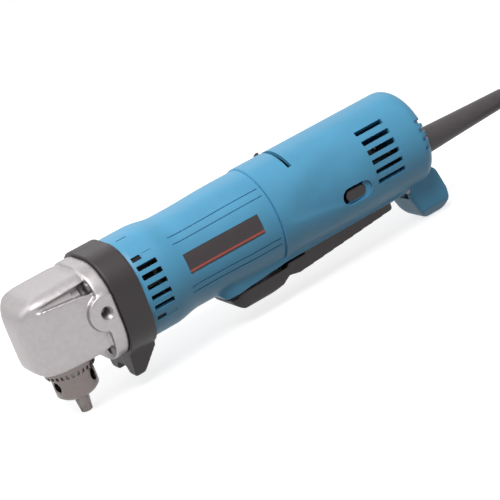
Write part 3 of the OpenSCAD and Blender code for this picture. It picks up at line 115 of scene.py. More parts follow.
# Mesh tools

def new_object(name: str, data: bpy.types.ID) -> Body:
    """Links a mesh, curve, lamp or camera to the scene as an object at the origin.

    Args:
        name: The object's name.
        data: What it shows, in metres.

    Returns:
        The new object.
    """
    obj = bpy.data.objects.new(name, data)
    bpy.context.scene.collection.objects.link(obj)
    return obj


def remove(obj: Body) -> None:
    """Deletes a helper object and its mesh.

    Args:
        obj: The helper.
    """
    data = obj.data
    bpy.data.objects.remove(obj)
    bpy.data.meshes.remove(data)


def solid(name: str, points: Sequence[Sequence[float]], faces: Sequence[Sequence[int]]) -> Body:
    """Makes a closed solid with its faces outward.

    Args:
        name: The piece's name.
        points: Its points in mm.
        faces: Its faces as point numbers.

    Returns:
        The object, in metres.
    """
    bm = bmesh.new()
    verts = [bm.verts.new(tuple(c * MM for c in p)) for p in points]
    for f in faces:
        bm.faces.new([verts[i] for i in f])
    bmesh.ops.remove_doubles(bm, verts=bm.verts, dist=MERGE_M)
    bmesh.ops.recalc_face_normals(bm, faces=bm.faces)
    mesh = bpy.data.meshes.new(name)
    bm.to_mesh(mesh)
    bm.free()
    return new_object(name, mesh)


def settle(obj: Body) -> Body:
    """Turns an object's modifiers into a plain mesh.

    Args:
        obj: The object with modifiers.

    Returns:
        The same object.
    """
    graph = bpy.context.evaluated_depsgraph_get()
    mesh = bpy.data.meshes.new_from_object(obj.evaluated_get(graph), depsgraph=graph)
    old = obj.data
    obj.modifiers.clear()
    obj.data = mesh
    bpy.data.meshes.remove(old)
    return obj


def combine(obj: Body, how: Join, *others: Body, drop: bool = True) -> Body:
    """Cuts, adds or keeps one solid by others, in turn.

    Args:
        obj: The solid that changes.
        how: What the others do to it.
        others: The solids that act on it.
        drop: Whether these are deleted after.

    Returns:
        The changed solid.
    """
    for other in others:
        step = obj.modifiers.new("combine", "BOOLEAN")
        step.operation = how.value
        step.solver = "MANIFOLD"
        step.object = other
        settle(obj)
        if drop:
            remove(other)
    return obj


def soften(obj: Body, voxel: float, passes: int) -> Body:
    """Rounds every edge of a solid as a casting or moulding has them.

    Args:
        obj: The solid.
        voxel: Grain of the new mesh in mm.
        passes: Smoothing passes.

    Returns:
        The softened solid.
    """
    grid = obj.modifiers.new("grain", "REMESH")
    grid.mode = "VOXEL"
    grid.voxel_size = voxel * MM
    ease = obj.modifiers.new("ease", "SMOOTH")
    ease.factor = 0.5
    ease.iterations = passes
    return settle(obj)


def ease_edges(obj: Body, width: float, angle: float) -> Body:
    """Bevels the sharp edges of a solid.

    Args:
        obj: The solid.
        width: Bevel width in mm.
        angle: Edges sharper than this, in degrees, are eased.

    Returns:
        The eased solid.
    """
    step = obj.modifiers.new("edges", "BEVEL")
    step.width = width * MM
    step.segments = 2
    step.limit_method = "ANGLE"
    step.angle_limit = math.radians(angle)
    return settle(obj)


def shade(obj: Body, angle: float) -> None:
    """Smooths the shading of a mesh.

    Args:
        obj: The piece.
        angle: Edges sharper than this, in degrees, stay sharp.
    """
    mesh = obj.data
    mesh.polygons.foreach_set("use_smooth", [True] * len(mesh.polygons))
    mesh.set_sharp_from_angle(angle=math.radians(angle))


def copy_of(name: str, node: str) -> Body:
    """Makes a merged copy of a CAD node's mesh.

    Args:
        name: The new piece's name.
        node: The node to copy.

    Returns:
        The copy, as a closed solid.
    """
    bm = bmesh.new()
    bm.from_mesh(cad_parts[node].data)
    bmesh.ops.remove_doubles(bm, verts=bm.verts, dist=NODE_MERGE_M)
    mesh = bpy.data.meshes.new(name)
    bm.to_mesh(mesh)
    bm.free()
    return new_object(name, mesh)


def dress(obj: Body, finish: Material, slot: str, *nodes: str, body: str = "housing",
          angle: float = 35.0) -> Body:
    """Gives a piece its finish and its body, and hides the CAD nodes that it stands for.

    Args:
        obj: The piece.
        finish: Its material.
        slot: Not used.
        nodes: CAD nodes that it replaces.
        body: The CAD body that it rides on.
        angle: Edge angle of its shading, in degrees.

    Returns:
        The piece.
    """
    obj.data.materials.clear()
    obj.data.materials.append(finish)
    if obj.type == "MESH":
        shade(obj, angle)
    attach(obj, body)
    if nodes:
        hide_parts(*nodes)
    LOG.info("%s: %d faces on %s", obj.name, len(getattr(obj.data, "polygons", [])), body)
    return obj


# Outlines and plain solids, in mm

def corner_arc(a: Flat, b: Flat, c: Flat, r: float, steps: int) -> list[Flat]:
    """Rounds the corner at b between a and c.

    Args:
        a: The point before.
        b: The corner.
        c: The point after.
        r: Its radius.
        steps: Steps of the arc.

    Returns:
        The points of the arc.
    """
    if r == 0:
        return [b]
    pa, pb, pc = Vector(a), Vector(b), Vector(c)
    u, w = (pa - pb).normalized(), (pc - pb).normalized()
    half = math.acos(max(-1.0, min(1.0, u.dot(w)))) / 2
    middle = pb + (u + w).normalized() * (r / math.sin(half))
    first = pb + u * (r / math.tan(half)) - middle
    last = pb + w * (r / math.tan(half)) - middle
    start = math.atan2(first.y, first.x)
    swing = math.atan2(first.x * last.y - first.y * last.x, first.dot(last))
    turns = [start + swing * i / steps for i in range(steps + 1)]
    return [(middle.x + r * math.cos(t), middle.y + r * math.sin(t)) for t in turns]


def rounded(corners: Sequence[Corner], steps: int = 16) -> list[Flat]:
    """Makes an outline from corners with radii.

    Args:
        corners: Corners as (across, up, radius).
        steps: Steps of each arc.

    Returns:
        The outline's points.
    """
    n = len(corners)
    out: list[Flat] = []
    for i in range(n):
        out += corner_arc(corners[i - 1][:2], corners[i][:2], corners[(i + 1) % n][:2], corners[i][2], steps)
    return out


def rounded_rect(low: Flat, high: Flat, r: float) -> list[Flat]:
    """An upright rectangle between two corners, with its corners rounded."""
    return rounded([(*low, r), (high[0], low[1], r), (*high, r), (low[0], high[1], r)])


def rounded_box(half_w: float, half_h: float, r: float, up: float = 0.0) -> list[Flat]:
    """A rounded rectangle centred at a height."""
    return rounded_rect((-half_w, up - half_h), (half_w, up + half_h), r)


def stadium(length: float, width: float, steps: int = 16) -> list[Flat]:
    """A slot outline with round ends, centred on zero.

    Args:
        length: Its whole length.
        width: Its width.
        steps: Steps of each end.

    Returns:
        The outline's points.
    """
    r, out = width / 2, []
    for side, start in ((1, -90), (-1, 90)):
        for i in range(steps + 1):
            a = math.radians(start + 180 * i / steps)
            out.append((side * (length / 2 - r) + r * math.cos(a), r * math.sin(a)))
    return out


def prism(name: str, outline: Sequence[Flat], axis: Axis, low: float, high: float) -> Body:
    """Draws an outline out to a solid.

    Args:
        name: The piece's name.
        outline: The outline's points, as (y, z), (x, z) or (x, y).
        axis: The way that it is drawn out.
        low: Where it starts.
        high: Where it ends.

    Returns:
        The solid.
    """
    n = len(outline)
    points = [axis.point(p, d) for d in (low, high) for p in outline]
    faces = [list(range(n)), list(range(n, 2 * n))]
    faces += [[i, (i + 1) % n, n + (i + 1) % n, n + i] for i in range(n)]
    return solid(name, points, faces)


def box(name: str, low: Point, high: Point) -> Body:
    """A plain box between two corners, used as a cutter."""
    return prism(name, rounded_rect(low[:2], high[:2], 0), Axis.Z, low[2], high[2])


def turned(name: str, profile: Sequence[Flat], axis: Axis, place: Point = (0, 0, 0), steps: int = 96,
           ring: bool = False) -> Body:
    """Turns a profile round an axis.

    Args:
        name: The piece's name.
        profile: Points as (along the axis, radius).
        axis: The axis that it is turned round.
        place: A point on that axis.
        steps: Steps round.
        ring: Whether the profile closes on itself, clear of the axis.

    Returns:
        The solid.
    """
    points: list[Point] = []
    rows: list[list[int]] = []
    for along, r in profile:
        row = []
        for k in range(steps if r > TINY else 1):
            a = 2 * math.pi * k / steps
            spot = axis.point((r * math.cos(a), r * math.sin(a)), along)
            row.append(len(points))
            points.append(tuple(c + p for c, p in zip(spot, place)))
        rows.append(row)
    faces: list[list[int]] = []
    pairs = list(zip(rows, rows[1:])) + ([(rows[-1], rows[0])] if ring else [])
    for a_row, b_row in pairs:
        for k in range(steps):
            q = (k + 1) % steps
            face = [row[i % len(row)] for row, i in ((a_row, k), (a_row, q), (b_row, q), (b_row, k))]
            face = [i for j, i in enumerate(face) if i not in face[:j]]
            if len(face) > 2:
                faces.append(face)
    if not ring:
        faces += [row for row in (rows[0], rows[-1]) if len(row) > 1]
    return solid(name, points, faces)


def rod(name: str, start: Point, end: Point, r0: float, r1: float | None = None) -> Body:
    """A round or tapered rod between two points.

    Args:
        name: The piece's name.
        start: The middle of its first end.
        end: The middle of its last end.
        r0: Radius at the start.
        r1: Radius at the end, the same if not given.

    Returns:
        The solid.
    """
    a, b, n = Vector(start), Vector(end), ROD_STEPS
    way = (b - a).normalized()
    side = way.orthogonal().normalized()
    top = way.cross(side)
    points = []
    for middle, r in ((a, r0), (b, r0 if r1 is None else r1)):
        for k in range(n):
            t = 2 * math.pi * k / n
            points.append(tuple(middle + side * (r * math.cos(t)) + top * (r * math.sin(t))))
    faces = [list(range(n)), list(range(n, 2 * n))]
    faces += [[k, (k + 1) % n, n + (k + 1) % n, n + k] for k in range(n)]
    return solid(name, points, faces)


def rod_x(name: str, x0: float, x1: float, spot: Flat, r: float) -> Body:
    """A round rod along X at a place given as (y, z)."""
    return rod(name, (x0, *spot), (x1, *spot), r)


def ease_between(s: np.ndarray | float, low: float, high: float) -> np.ndarray | float:
    """A smooth step from 0 at low to 1 at high."""
    t = np.clip((s - low) / (high - low), 0.0, 1.0)
    return (1 - np.cos(np.pi * t)) / 2


def ease_window(s: np.ndarray, rise: Flat, fall: Flat) -> np.ndarray:
    """A smooth rise to 1 over one span and fall to 0 over a later one."""
    return ease_between(s, *rise) * (1 - ease_between(s, *fall))


def soft_max(a: np.ndarray, b: np.ndarray, k: float) -> np.ndarray:
    """The larger of two values with a rounded change over k."""
    return 0.5 * (a + b + np.sqrt((a - b) ** 2 + k * k)) - 0.25 * k * k / (np.abs(a - b) + k)


class CopyTree:
    """Geometry nodes that set copies of a piece on the points of a mesh."""

    def __init__(self) -> None:
        """Builds the tree with its named inputs."""
        tree = bpy.data.node_groups.new("copies_on_points", "GeometryNodeTree")
        face = tree.interface
        face.new_socket("Points", in_out="INPUT", socket_type="NodeSocketGeometry")
        self.piece = face.new_socket("Piece", in_out="INPUT", socket_type="NodeSocketObject").identifier
        self.size = face.new_socket("Size", in_out="INPUT", socket_type="NodeSocketFloat").identifier
        self.finish = face.new_socket("Finish", in_out="INPUT", socket_type="NodeSocketMaterial").identifier
        face.new_socket("Copies", in_out="OUTPUT", socket_type="NodeSocketGeometry")
        nodes, links = tree.nodes, tree.links
        start = nodes.new("NodeGroupInput")
        end = nodes.new("NodeGroupOutput")
        info = nodes.new("GeometryNodeObjectInfo")
        turn = nodes.new("GeometryNodeInputNamedAttribute")
        turn.data_type = "FLOAT_VECTOR"
        turn.inputs["Name"].default_value = "turn"
        euler = nodes.new("FunctionNodeEulerToRotation")
        copies = nodes.new("GeometryNodeInstanceOnPoints")
        real = nodes.new("GeometryNodeRealizeInstances")
        paint = nodes.new("GeometryNodeSetMaterial")
        links.new(start.outputs["Points"], copies.inputs["Points"])
        links.new(start.outputs["Piece"], info.inputs["Object"])
        links.new(info.outputs["Geometry"], copies.inputs["Instance"])
        links.new(turn.outputs["Attribute"], euler.inputs["Euler"])
        links.new(euler.outputs["Rotation"], copies.inputs["Rotation"])
        links.new(start.outputs["Size"], copies.inputs["Scale"])
        links.new(copies.outputs["Instances"], real.inputs["Geometry"])
        links.new(real.outputs["Geometry"], paint.inputs["Geometry"])
        links.new(start.outputs["Finish"], paint.inputs["Material"])
        links.new(paint.outputs["Geometry"], end.inputs["Copies"])
        self.tree = tree

    def place(self, name: str, piece: Body, spots: Sequence[Spot], finish: Material | None = None,
              size: float = 1.0) -> Body:
        """Sets copies of a piece and makes them one plain mesh.

        Args:
            name: Name of the result.
            piece: The piece to copy, which is deleted after.
            spots: Places in mm, each with its turn in degrees about X, Y and Z.
            finish: The copies' material.
            size: Scale of the copies.

        Returns:
            The copies as one object.
        """
        mesh = bpy.data.meshes.new(name)
        mesh.from_pydata([tuple(c * MM for c in spot) for spot, _ in spots], [], [])
        turns = mesh.attributes.new("turn", "FLOAT_VECTOR", "POINT")
        turns.data.foreach_set("vector", [math.radians(c) for _, turn in spots for c in turn])
        obj = new_object(name, mesh)
        step = obj.modifiers.new("copies", "NODES")
        step.node_group = self.tree
        step[self.piece] = piece
        step[self.size] = size
        step[self.finish] = finish
        settle(obj)
        remove(piece)
        return obj


# Finishes

@dataclass(frozen=True)
class Finish:
    """A surface with mottled colour, uneven gloss and a fine grain."""

    name: str
    colour: Point
    roughness: float
    metallic: float = 0.0
    mottle: float = 0.08
    mottle_mm: float = 6.0
    mottle_ramp: Flat = (0.3, 0.7)
    grain_mm: float = 0.35
    grain_depth: float = 0.02
    bump: float = 0.35
    gloss_play: float = 0.08
    stretch: Point = (1.0, 1.0, 1.0)

    def make(self) -> Material:
        """Builds the material.

        Returns:
            The node material.
        """
        mat = bpy.data.materials.new(self.name)
        mat.use_nodes = True
        nodes, links = mat.node_tree.nodes, mat.node_tree.links
        shader = nodes["Principled BSDF"]
        shader.inputs["Metallic"].default_value = self.metallic
        where = nodes.new("ShaderNodeTexCoord")
        spread = nodes.new("ShaderNodeMapping")
        spread.inputs["Scale"].default_value = self.stretch
        links.new(where.outputs["Object"], spread.inputs["Vector"])
        cloud = nodes.new("ShaderNodeTexNoise")
        cloud.inputs["Scale"].default_value = 1 / (self.mottle_mm * MM)
        cloud.inputs["Detail"].default_value = 4.0
        links.new(spread.outputs["Vector"], cloud.inputs["Vector"])
        tone = nodes.new("ShaderNodeValToRGB")
        shares = (1 - self.mottle, 1 + self.mottle)
        for stop, place, share in zip(tone.color_ramp.elements, self.mottle_ramp, shares):
            stop.position = place
            stop.color = (*(min(1.0, c * share) for c in self.colour), 1.0)
        links.new(cloud.outputs["Fac"], tone.inputs["Fac"])
        links.new(tone.outputs["Color"], shader.inputs["Base Color"])
        grain = nodes.new("ShaderNodeTexNoise")
        grain.inputs["Scale"].default_value = 1 / (self.grain_mm * MM)
        grain.inputs["Detail"].default_value = 2.0
        links.new(spread.outputs["Vector"], grain.inputs["Vector"])
        gloss = nodes.new("ShaderNodeMapRange")
        gloss.inputs["To Min"].default_value = max(0.05, self.roughness - self.gloss_play)
        gloss.inputs["To Max"].default_value = min(1.0, self.roughness + self.gloss_play)
        links.new(cloud.outputs["Fac"], gloss.inputs["Value"])
        links.new(gloss.outputs["Result"], shader.inputs["Roughness"])
        bump = nodes.new("ShaderNodeBump")
        bump.inputs["Strength"].default_value = self.bump
        bump.inputs["Distance"].default_value = self.grain_depth * MM
        links.new(grain.outputs["Fac"], bump.inputs["Height"])
        links.new(bump.outputs["Normal"], shader.inputs["Normal"])
        return mat


def made(name: str, colour: Point, roughness: float, **detail: float | Point) -> Material:
    """A dataclass field whose finish is made with the set that holds it."""
    return field(default_factory=lambda: Finish(name, colour, roughness, **detail).make())


@dataclass(frozen=True)
class Finishes:
    """Every finish on the drill, made once."""

    blue: Material = made("blue_moulded_plastic", (0.085, 0.345, 0.56), 0.42, mottle=0.04, mottle_mm=14,
                          grain_mm=0.5, grain_depth=0.03)
    black: Material = made("black_grained_plastic", (0.020, 0.014, 0.016), 0.48, mottle=0.10, grain_mm=0.45,
                           grain_depth=0.05)
    cast: Material = made("tumbled_cast_aluminium", (0.42, 0.395, 0.40), 0.40, metallic=0.8, mottle=0.05,
                          mottle_mm=3, grain_mm=0.6, grain_depth=0.06, gloss_play=0.06)
    steel: Material = made("turned_steel", (0.185, 0.160, 0.155), 0.32, metallic=1.0, mottle=0.10,
                           mottle_mm=1.2, grain_mm=0.3, stretch=(0.12, 0.12, 3.0))
    blackened: Material = made("blackened_steel", (0.16, 0.15, 0.155), 0.38, metallic=0.9, mottle=0.15,
                               mottle_mm=1.5)
    jaw: Material = made("hardened_jaw_steel", (0.19, 0.17, 0.165), 0.34, metallic=1.0, mottle=0.12,
                         mottle_mm=1.0, stretch=(1, 1, 0.3))
    sheets: Material = made("stacked_sheet_steel", (0.24, 0.23, 0.24), 0.45, metallic=0.8, mottle=0.3,
                            mottle_mm=0.5, stretch=(4.0, 0.2, 0.2))
    copper: Material = made("enamelled_copper", (0.60, 0.26, 0.11), 0.34, metallic=0.8, mottle=0.25,
                            mottle_mm=0.6, grain_mm=0.4, grain_depth=0.15)
    brass: Material = made("plain_brass", (0.72, 0.53, 0.22), 0.28, metallic=1.0)
    bronze: Material = made("sintered_bronze", (0.45, 0.30, 0.13), 0.45, metallic=0.9, mottle=0.2,
                            mottle_mm=0.5)
    carbon: Material = made("pressed_carbon", (0.025, 0.025, 0.027), 0.6, mottle=0.2, mottle_mm=0.8)
    # Painted shade: a near-black matt finish laid on vent floors and on the low part of vent walls.
    vent_shade: Material = made("painted_vent_shade", (0.010, 0.009, 0.010), 0.95, mottle=0.1, mottle_mm=2)
    rubber: Material = made("cord_rubber", (0.070, 0.060, 0.062), 0.5, mottle=0.10, mottle_mm=4, grain_mm=0.3)
    film: Material = made("badge_film", (0.034, 0.024, 0.027), 0.40, mottle=0.08, mottle_mm=9,
                          grain_depth=0.005)
    stripe: Material = made("badge_red_ink", (0.52, 0.075, 0.05), 0.36, mottle=0.06, mottle_mm=5,
                            grain_depth=0.005)
    foil: Material = made("suppressor_film", (0.55, 0.37, 0.05), 0.4, mottle=0.06)
    strap: Material = made("woven_strap", (0.03, 0.03, 0.032), 0.8, mottle=0.3, mottle_mm=0.7, grain_mm=0.7,
                           grain_depth=0.2)


# Studio

@dataclass(frozen=True)
class Lamp:
    """A soft round lamp: its place and aim in mm, its width in metres and its power."""

    name: str
    spot: Point
    aim: Point
    size: float
    watts: float

    def hang(self) -> None:
        """Links the lamp to the scene, turned to its aim."""
        data = bpy.data.lights.new(self.name, "AREA")
        data.shape, data.size, data.energy = "DISK", self.size, self.watts
        lamp = new_object(self.name, data)
        lamp.location = Vector(self.spot) * MM
        lamp.rotation_euler = (Vector(self.spot) - Vector(self.aim)).to_track_quat("Z", "Y").to_euler()


@dataclass
class Studio:
    """Camera at the photograph's angle, soft lamps and a pale floor."""

    azimuth: float = -24.5
    elevation: float = 20.0
    roll: float = 20.5
    target: Point = (125.8, 0.0, 34.8)
    distance: float = 1081.7
    lens: float = 136.8
    sensor: float = 36.0
    clip_m: Flat = (0.01, 50.0)
    floor_half: float = 6000.0
    floor_drop: float = 0.2
    floor_tone: float = 0.5
    floor_bounce: float = 0.12
    floor_lift: float = 0.78
    sky_light: float = 0.15
    sky_seen: float = 0.92
    lamps: tuple[Lamp, ...] = (
        Lamp("key_lamp", (-220, -480, 1180), (90, 0, 45), 0.8, 14.5),
        Lamp("fill_lamp", (650, -900, 500), (130, 0, 40), 1.0, 0.4),
        Lamp("back_lamp", (350, 900, 800), (130, 0, 40), 0.9, 1.4),
        Lamp("front_lamp", (-520, 330, 650), (0, 0, 55), 0.9, 2.5),
    )

    def camera(self) -> None:
        """Makes the camera and sets it on the scene."""
        a, e, r = (math.radians(v) for v in (self.azimuth, self.elevation, self.roll))
        right = Vector((math.cos(a), math.sin(a), 0))
        back = Vector((math.sin(a) * math.cos(e), -math.cos(a) * math.cos(e), math.sin(e)))
        up = back.cross(right)
        side = right * math.cos(r) - up * math.sin(r)
        top = right * math.sin(r) + up * math.cos(r)
        spot = (Vector(self.target) + back * self.distance) * MM
        data = bpy.data.cameras.new("photo_camera")
        data.lens, data.sensor_width = self.lens, self.sensor
        data.clip_start, data.clip_end = self.clip_m
        cam = new_object("photo_camera", data)
        cam.matrix_world = Matrix(((side.x, top.x, back.x, spot.x), (side.y, top.y, back.y, spot.y),
                                   (side.z, top.z, back.z, spot.z), (0, 0, 0, 1)))
        bpy.context.scene.camera = cam

    @staticmethod
    def seen_rays(tree: bpy.types.NodeTree) -> bpy.types.NodeSocket:
        """Adds nodes that tell rays which show the background from rays that only light the drill.

        Args:
            tree: The node tree of the floor or the world.

        Returns:
            A socket that is 1 for camera, mirror and glass rays.
        """
        path = tree.nodes.new("ShaderNodeLightPath")
        out = path.outputs["Is Camera Ray"]
        for kind in ("Is Glossy Ray", "Is Transmission Ray"):
            either = tree.nodes.new("ShaderNodeMath")
            either.operation = "MAXIMUM"
            tree.links.new(out, either.inputs[0])
            tree.links.new(path.outputs[kind], either.inputs[1])
            out = either.outputs["Value"]
        return out

    def light(self) -> None:
        """Sets the lamps, the world and the view transform."""
        for lamp in self.lamps:
            lamp.hang()
        world = bpy.data.worlds.new("studio")
        world.use_nodes = True
        nodes, links = world.node_tree.nodes, world.node_tree.links
        sky = nodes["Background"]
        sky.inputs["Color"].default_value = (1.0, 1.0, 1.0, 1.0)
        level = nodes.new("ShaderNodeMapRange")
        level.inputs["To Min"].default_value = self.sky_light
        level.inputs["To Max"].default_value = self.sky_seen
        links.new(self.seen_rays(world.node_tree), level.inputs["Value"])
        links.new(level.outputs["Result"], sky.inputs["Strength"])
        bpy.context.scene.world = world
        bpy.context.scene.view_settings.view_transform = "Standard"

    def floor(self) -> None:
        """Lays the pale floor, which keeps the drill's shadow."""
        half = self.floor_half
        corners = rounded_box(half, half, 0)
        obj = solid("floor", [(x, y, 0) for x, y in corners], [list(range(len(corners)))])
        mat = bpy.data.materials.new("pale_floor")
        mat.use_nodes = True
        nodes, links = mat.node_tree.nodes, mat.node_tree.links
        shader = nodes["Principled BSDF"]
        shader.inputs["Roughness"].default_value = 0.9
        shader.inputs["Specular IOR Level"].default_value = 0.0
        shader.inputs["Emission Color"].default_value = (1.0, 1.0, 1.0, 1.0)
        seen = self.seen_rays(mat.node_tree)
        lift = nodes.new("ShaderNodeMath")
        lift.operation = "MULTIPLY"
        lift.inputs[1].default_value = self.floor_lift
        tone = nodes.new("ShaderNodeMapRange")
        tone.inputs["To Min"].default_value = self.floor_bounce
        tone.inputs["To Max"].default_value = self.floor_tone
        links.new(seen, lift.inputs[0])
        links.new(seen, tone.inputs["Value"])
        links.new(tone.outputs["Result"], shader.inputs["Base Color"])
        links.new(lift.outputs["Value"], shader.inputs["Emission Strength"])
        obj.data.materials.append(mat)
        obj.location.z = -self.floor_drop * MM


# Cord group

@dataclass
class MainsLead:
    """The lead from the guard to its coil, with the tie and the plug."""

    finishes: Finishes
    tree: CopyTree
    diameter: float = 7.2
    route: tuple[Point, ...] = (
        (320, 0, 41), (327, 0, 41), (333.5, 0.5, 40.8), (340, 2.5, 40.2), (345.5, 6, 39.2), (350.5, 10.5, 38),
        (354.5, 15.5, 36.5), (357.5, 21.5, 34.9), (360.5, 27.5, 33.3), (364.5, 32.5, 31.8), (369.5, 37, 30.6),
        (375, 40.5, 29.6), (381.5, 42.5, 29), (388, 43, 28.8), (395, 43, 28.8))
    centre: Flat = (402.0, 0.0)
    out_r: float = 43.0
    pitch: float = 8.0
    rise: float = 7.9
    base_h: float = 5.1
    layers: int = 4
    turns: float = 1.5
    climb: float = 0.5
    tail: tuple[Point, ...] = ((4, 0, 0), (8.5, 0.3, 0.2), (13, 1, 0.9), (17, 2.3, 2), (21, 3.5, 3),
                               (25.5, 4.2, 3.7), (30, 4.5, 3.9), (38, 4.5, 3.9))
    rings: int = 48
    tie_w: float = 9.0
    tie_t: float = 1.2
    tie_gap: float = 0.3
    tie_lift: float = 0.05
    tie_corner: float = 2.4
    tie_inner_corner: float = 1.3
    tie_edge: float = 0.25
    ribs: int = 5
    rib_first: float = 14.0
    rib_pitch: float = 3.2
    rib_h: float = 9.0
    rib_size: Corner = (1.0, 0.55, 0.5)
    rib_reach: float = 14.0
    plug_grain: Grain = (0.32, 6)

    def coil_point(self, t: float) -> Point:
        """A point of the coil, which runs in and out by layers from the top.

        Args:
            t: Turns from the coil's start.

        Returns:
            The point in mm.
        """
        leg_turns = self.turns + self.climb
        u = t + self.climb / 2
        leg = math.floor(u / leg_turns)
        part = u - leg * leg_turns
        r = self.out_r + self.pitch * (self.climb / 2 - (part if leg % 2 == 0 else leg_turns - part))
        level = math.floor(t / leg_turns)
        step = max(0.0, t - level * leg_turns - self.turns) / self.climb
        top = self.base_h + self.rise * (self.layers - 1)
        h = top - self.rise * (level + (1 - math.cos(math.pi * step)) / 2)
        a = math.radians(90 - 360 * t)
        return (self.centre[0] + r * math.cos(a), self.centre[1] + r * math.sin(a), h)

    def path(self) -> list[Point]:
        """The whole line of the lead in mm.

        Returns:
            Points from the guard to the plug.
        """
        full = self.turns * self.layers + self.climb * (self.layers - 1)
        coil = [self.coil_point(i / self.rings) for i in range(round(full * self.rings) + 1)]
        last = coil[-1]
        tail = [(last[0] - p[0], last[1] + p[1], last[2] + p[2]) for p in self.tail]
        return self.fine(list(self.route) + [coil[0]])[:-1] + coil + self.fine([last] + tail)[1:]

    @staticmethod
    def fine(points: Sequence[Point], steps: int = 4) -> list[Point]:
        """Runs a smooth line through given points.

        Args:
            points: The points in mm.
            steps: Parts of each span.

        Returns:
            The finer line, ends included.
        """
        p = [np.array(q, float) for q in points]
        p = [2 * p[0] - p[1]] + p + [2 * p[-1] - p[-2]]
        out: list[Point] = []
        for a, b, c, d in zip(p, p[1:], p[2:], p[3:]):
            for i in range(steps):
                t = i / steps
                q = 0.5 * (2 * b + (c - a) * t + (2 * a - 5 * b + 4 * c - d) * t ** 2
                           + (3 * b - a - 3 * c + d) * t ** 3)
                out.append(tuple(float(v) for v in q))
        return out + [tuple(float(v) for v in p[-2])]

    def build(self) -> None:
        """Makes the lead, its tie and its plug."""
        line = self.path()
        data = bpy.data.curves.new("mains_lead", "CURVE")
        data.dimensions = "3D"
        data.bevel_depth = self.diameter / 2 * MM
        data.bevel_resolution = 4
        data.use_fill_caps = True
        spline = data.splines.new("POLY")
        spline.points.add(len(line) - 1)
        for point, p in zip(spline.points, line):
            point.co = (*(c * MM for c in p), 1.0)
        spline.use_smooth = True
        lead = new_object("mains_lead", data)
        dress(lead, self.finishes.rubber, "black_rubber", "cord_lead", "cord_coil")
        tie, plug = self.tie(), self.plug(line[-1])

    def tie(self) -> Body:
        """Makes the strap round the coil's far side.

        Returns:
            The strap.
        """
        t, half, room = self.tie_t, self.tie_w / 2, self.diameter / 2 + self.tie_gap
        low = self.centre[0] + self.out_r - self.pitch * (self.turns + self.climb) - room - t
        high = self.centre[0] + self.out_r + self.pitch * self.climb / 2 + room + t
        top = t + self.rise * (self.layers - 1) + 2 * room + t
        outer = rounded_rect((low, self.tie_lift), (high, top), self.tie_corner)
        inner = rounded_rect((low + t, t), (high - t, top - t), self.tie_inner_corner)
        strap = prism("cord_strap", outer, Axis.Y, -half, half)
        combine(strap, Join.CUT, prism("strap_room", inner, Axis.Y, -half - 1, half + 1))
        ease_edges(strap, self.tie_edge, 60)
        return dress(strap, self.finishes.strap, "black_plastic", "cord_tie")

    def plug(self, back: Point) -> Body:
        """Makes the moulded plug with finger ribs.

        Args:
            back: Where the lead enters it, in mm.

        Returns:
            The plug.
        """
        plug = copy_of("mains_plug", "plug_body")
        groove = prism("rib_cutter", rounded_box(*self.rib_size), Axis.Y, -self.rib_reach, self.rib_reach)
        x, y, z = back
        spots = [((x - self.rib_first - self.rib_pitch * i, y, z + side * self.rib_h), (0, 0, 0))
                 for i in range(self.ribs) for side in SIDES]
        combine(plug, Join.CUT, self.tree.place("rib_cutters", groove, spots))
        soften(plug, *self.plug_grain)
        return dress(plug, self.finishes.rubber, "black_rubber", "plug_body")


@dataclass
class CordGuard:
    """The tapered guard where the lead leaves the covers."""

    finishes: Finishes
    start_x: float = 216.0
    end_x: float = 320.0
    lead_r: float = 3.6
    lip_r: float = 10.5
    lip_t: float = 2.0
    wall: float = 2.65
    neck_r: float = 6.4
    mouth_r: float = 8.4
    knee: float = 0.35
    knee_r: float = 7.38
    tip_r: float = 5.5
    hollow: float = 0.12
    rows: int = 24

    def build(self) -> None:
        """Turns the guard with its lips eased."""
        inner, mouth = REAR_X - self.wall, REAR_X + 0.05
        profile = [(self.start_x, 0.0), (self.start_x, self.lead_r), (inner - self.lip_t, self.lead_r),
                   (inner - self.lip_t, self.lip_r), (inner, self.lip_r), (inner, self.neck_r),
                   (mouth, self.neck_r), (mouth, self.mouth_r - 0.4), (REAR_X + 0.35, self.mouth_r)]
        for i in range(self.rows + 1):
            s = i / self.rows
            r = float(np.interp(s, (0, self.knee, 1), (self.mouth_r, self.knee_r, self.tip_r)))
            along = REAR_X + 0.9 + (self.end_x - REAR_X - 1.6) * s
            profile.append((along, r - self.hollow * math.sin(math.pi * s)))
        profile += [(self.end_x - 0.2, self.tip_r - 0.25), (self.end_x, self.tip_r - 0.6), (self.end_x, 0.0)]
        guard = turned("cord_guard_boot", profile, Axis.X, (0, 0, CORD_H))
        dress(guard, self.finishes.rubber, "black_rubber", "cord_guard", angle=40)


# Housings

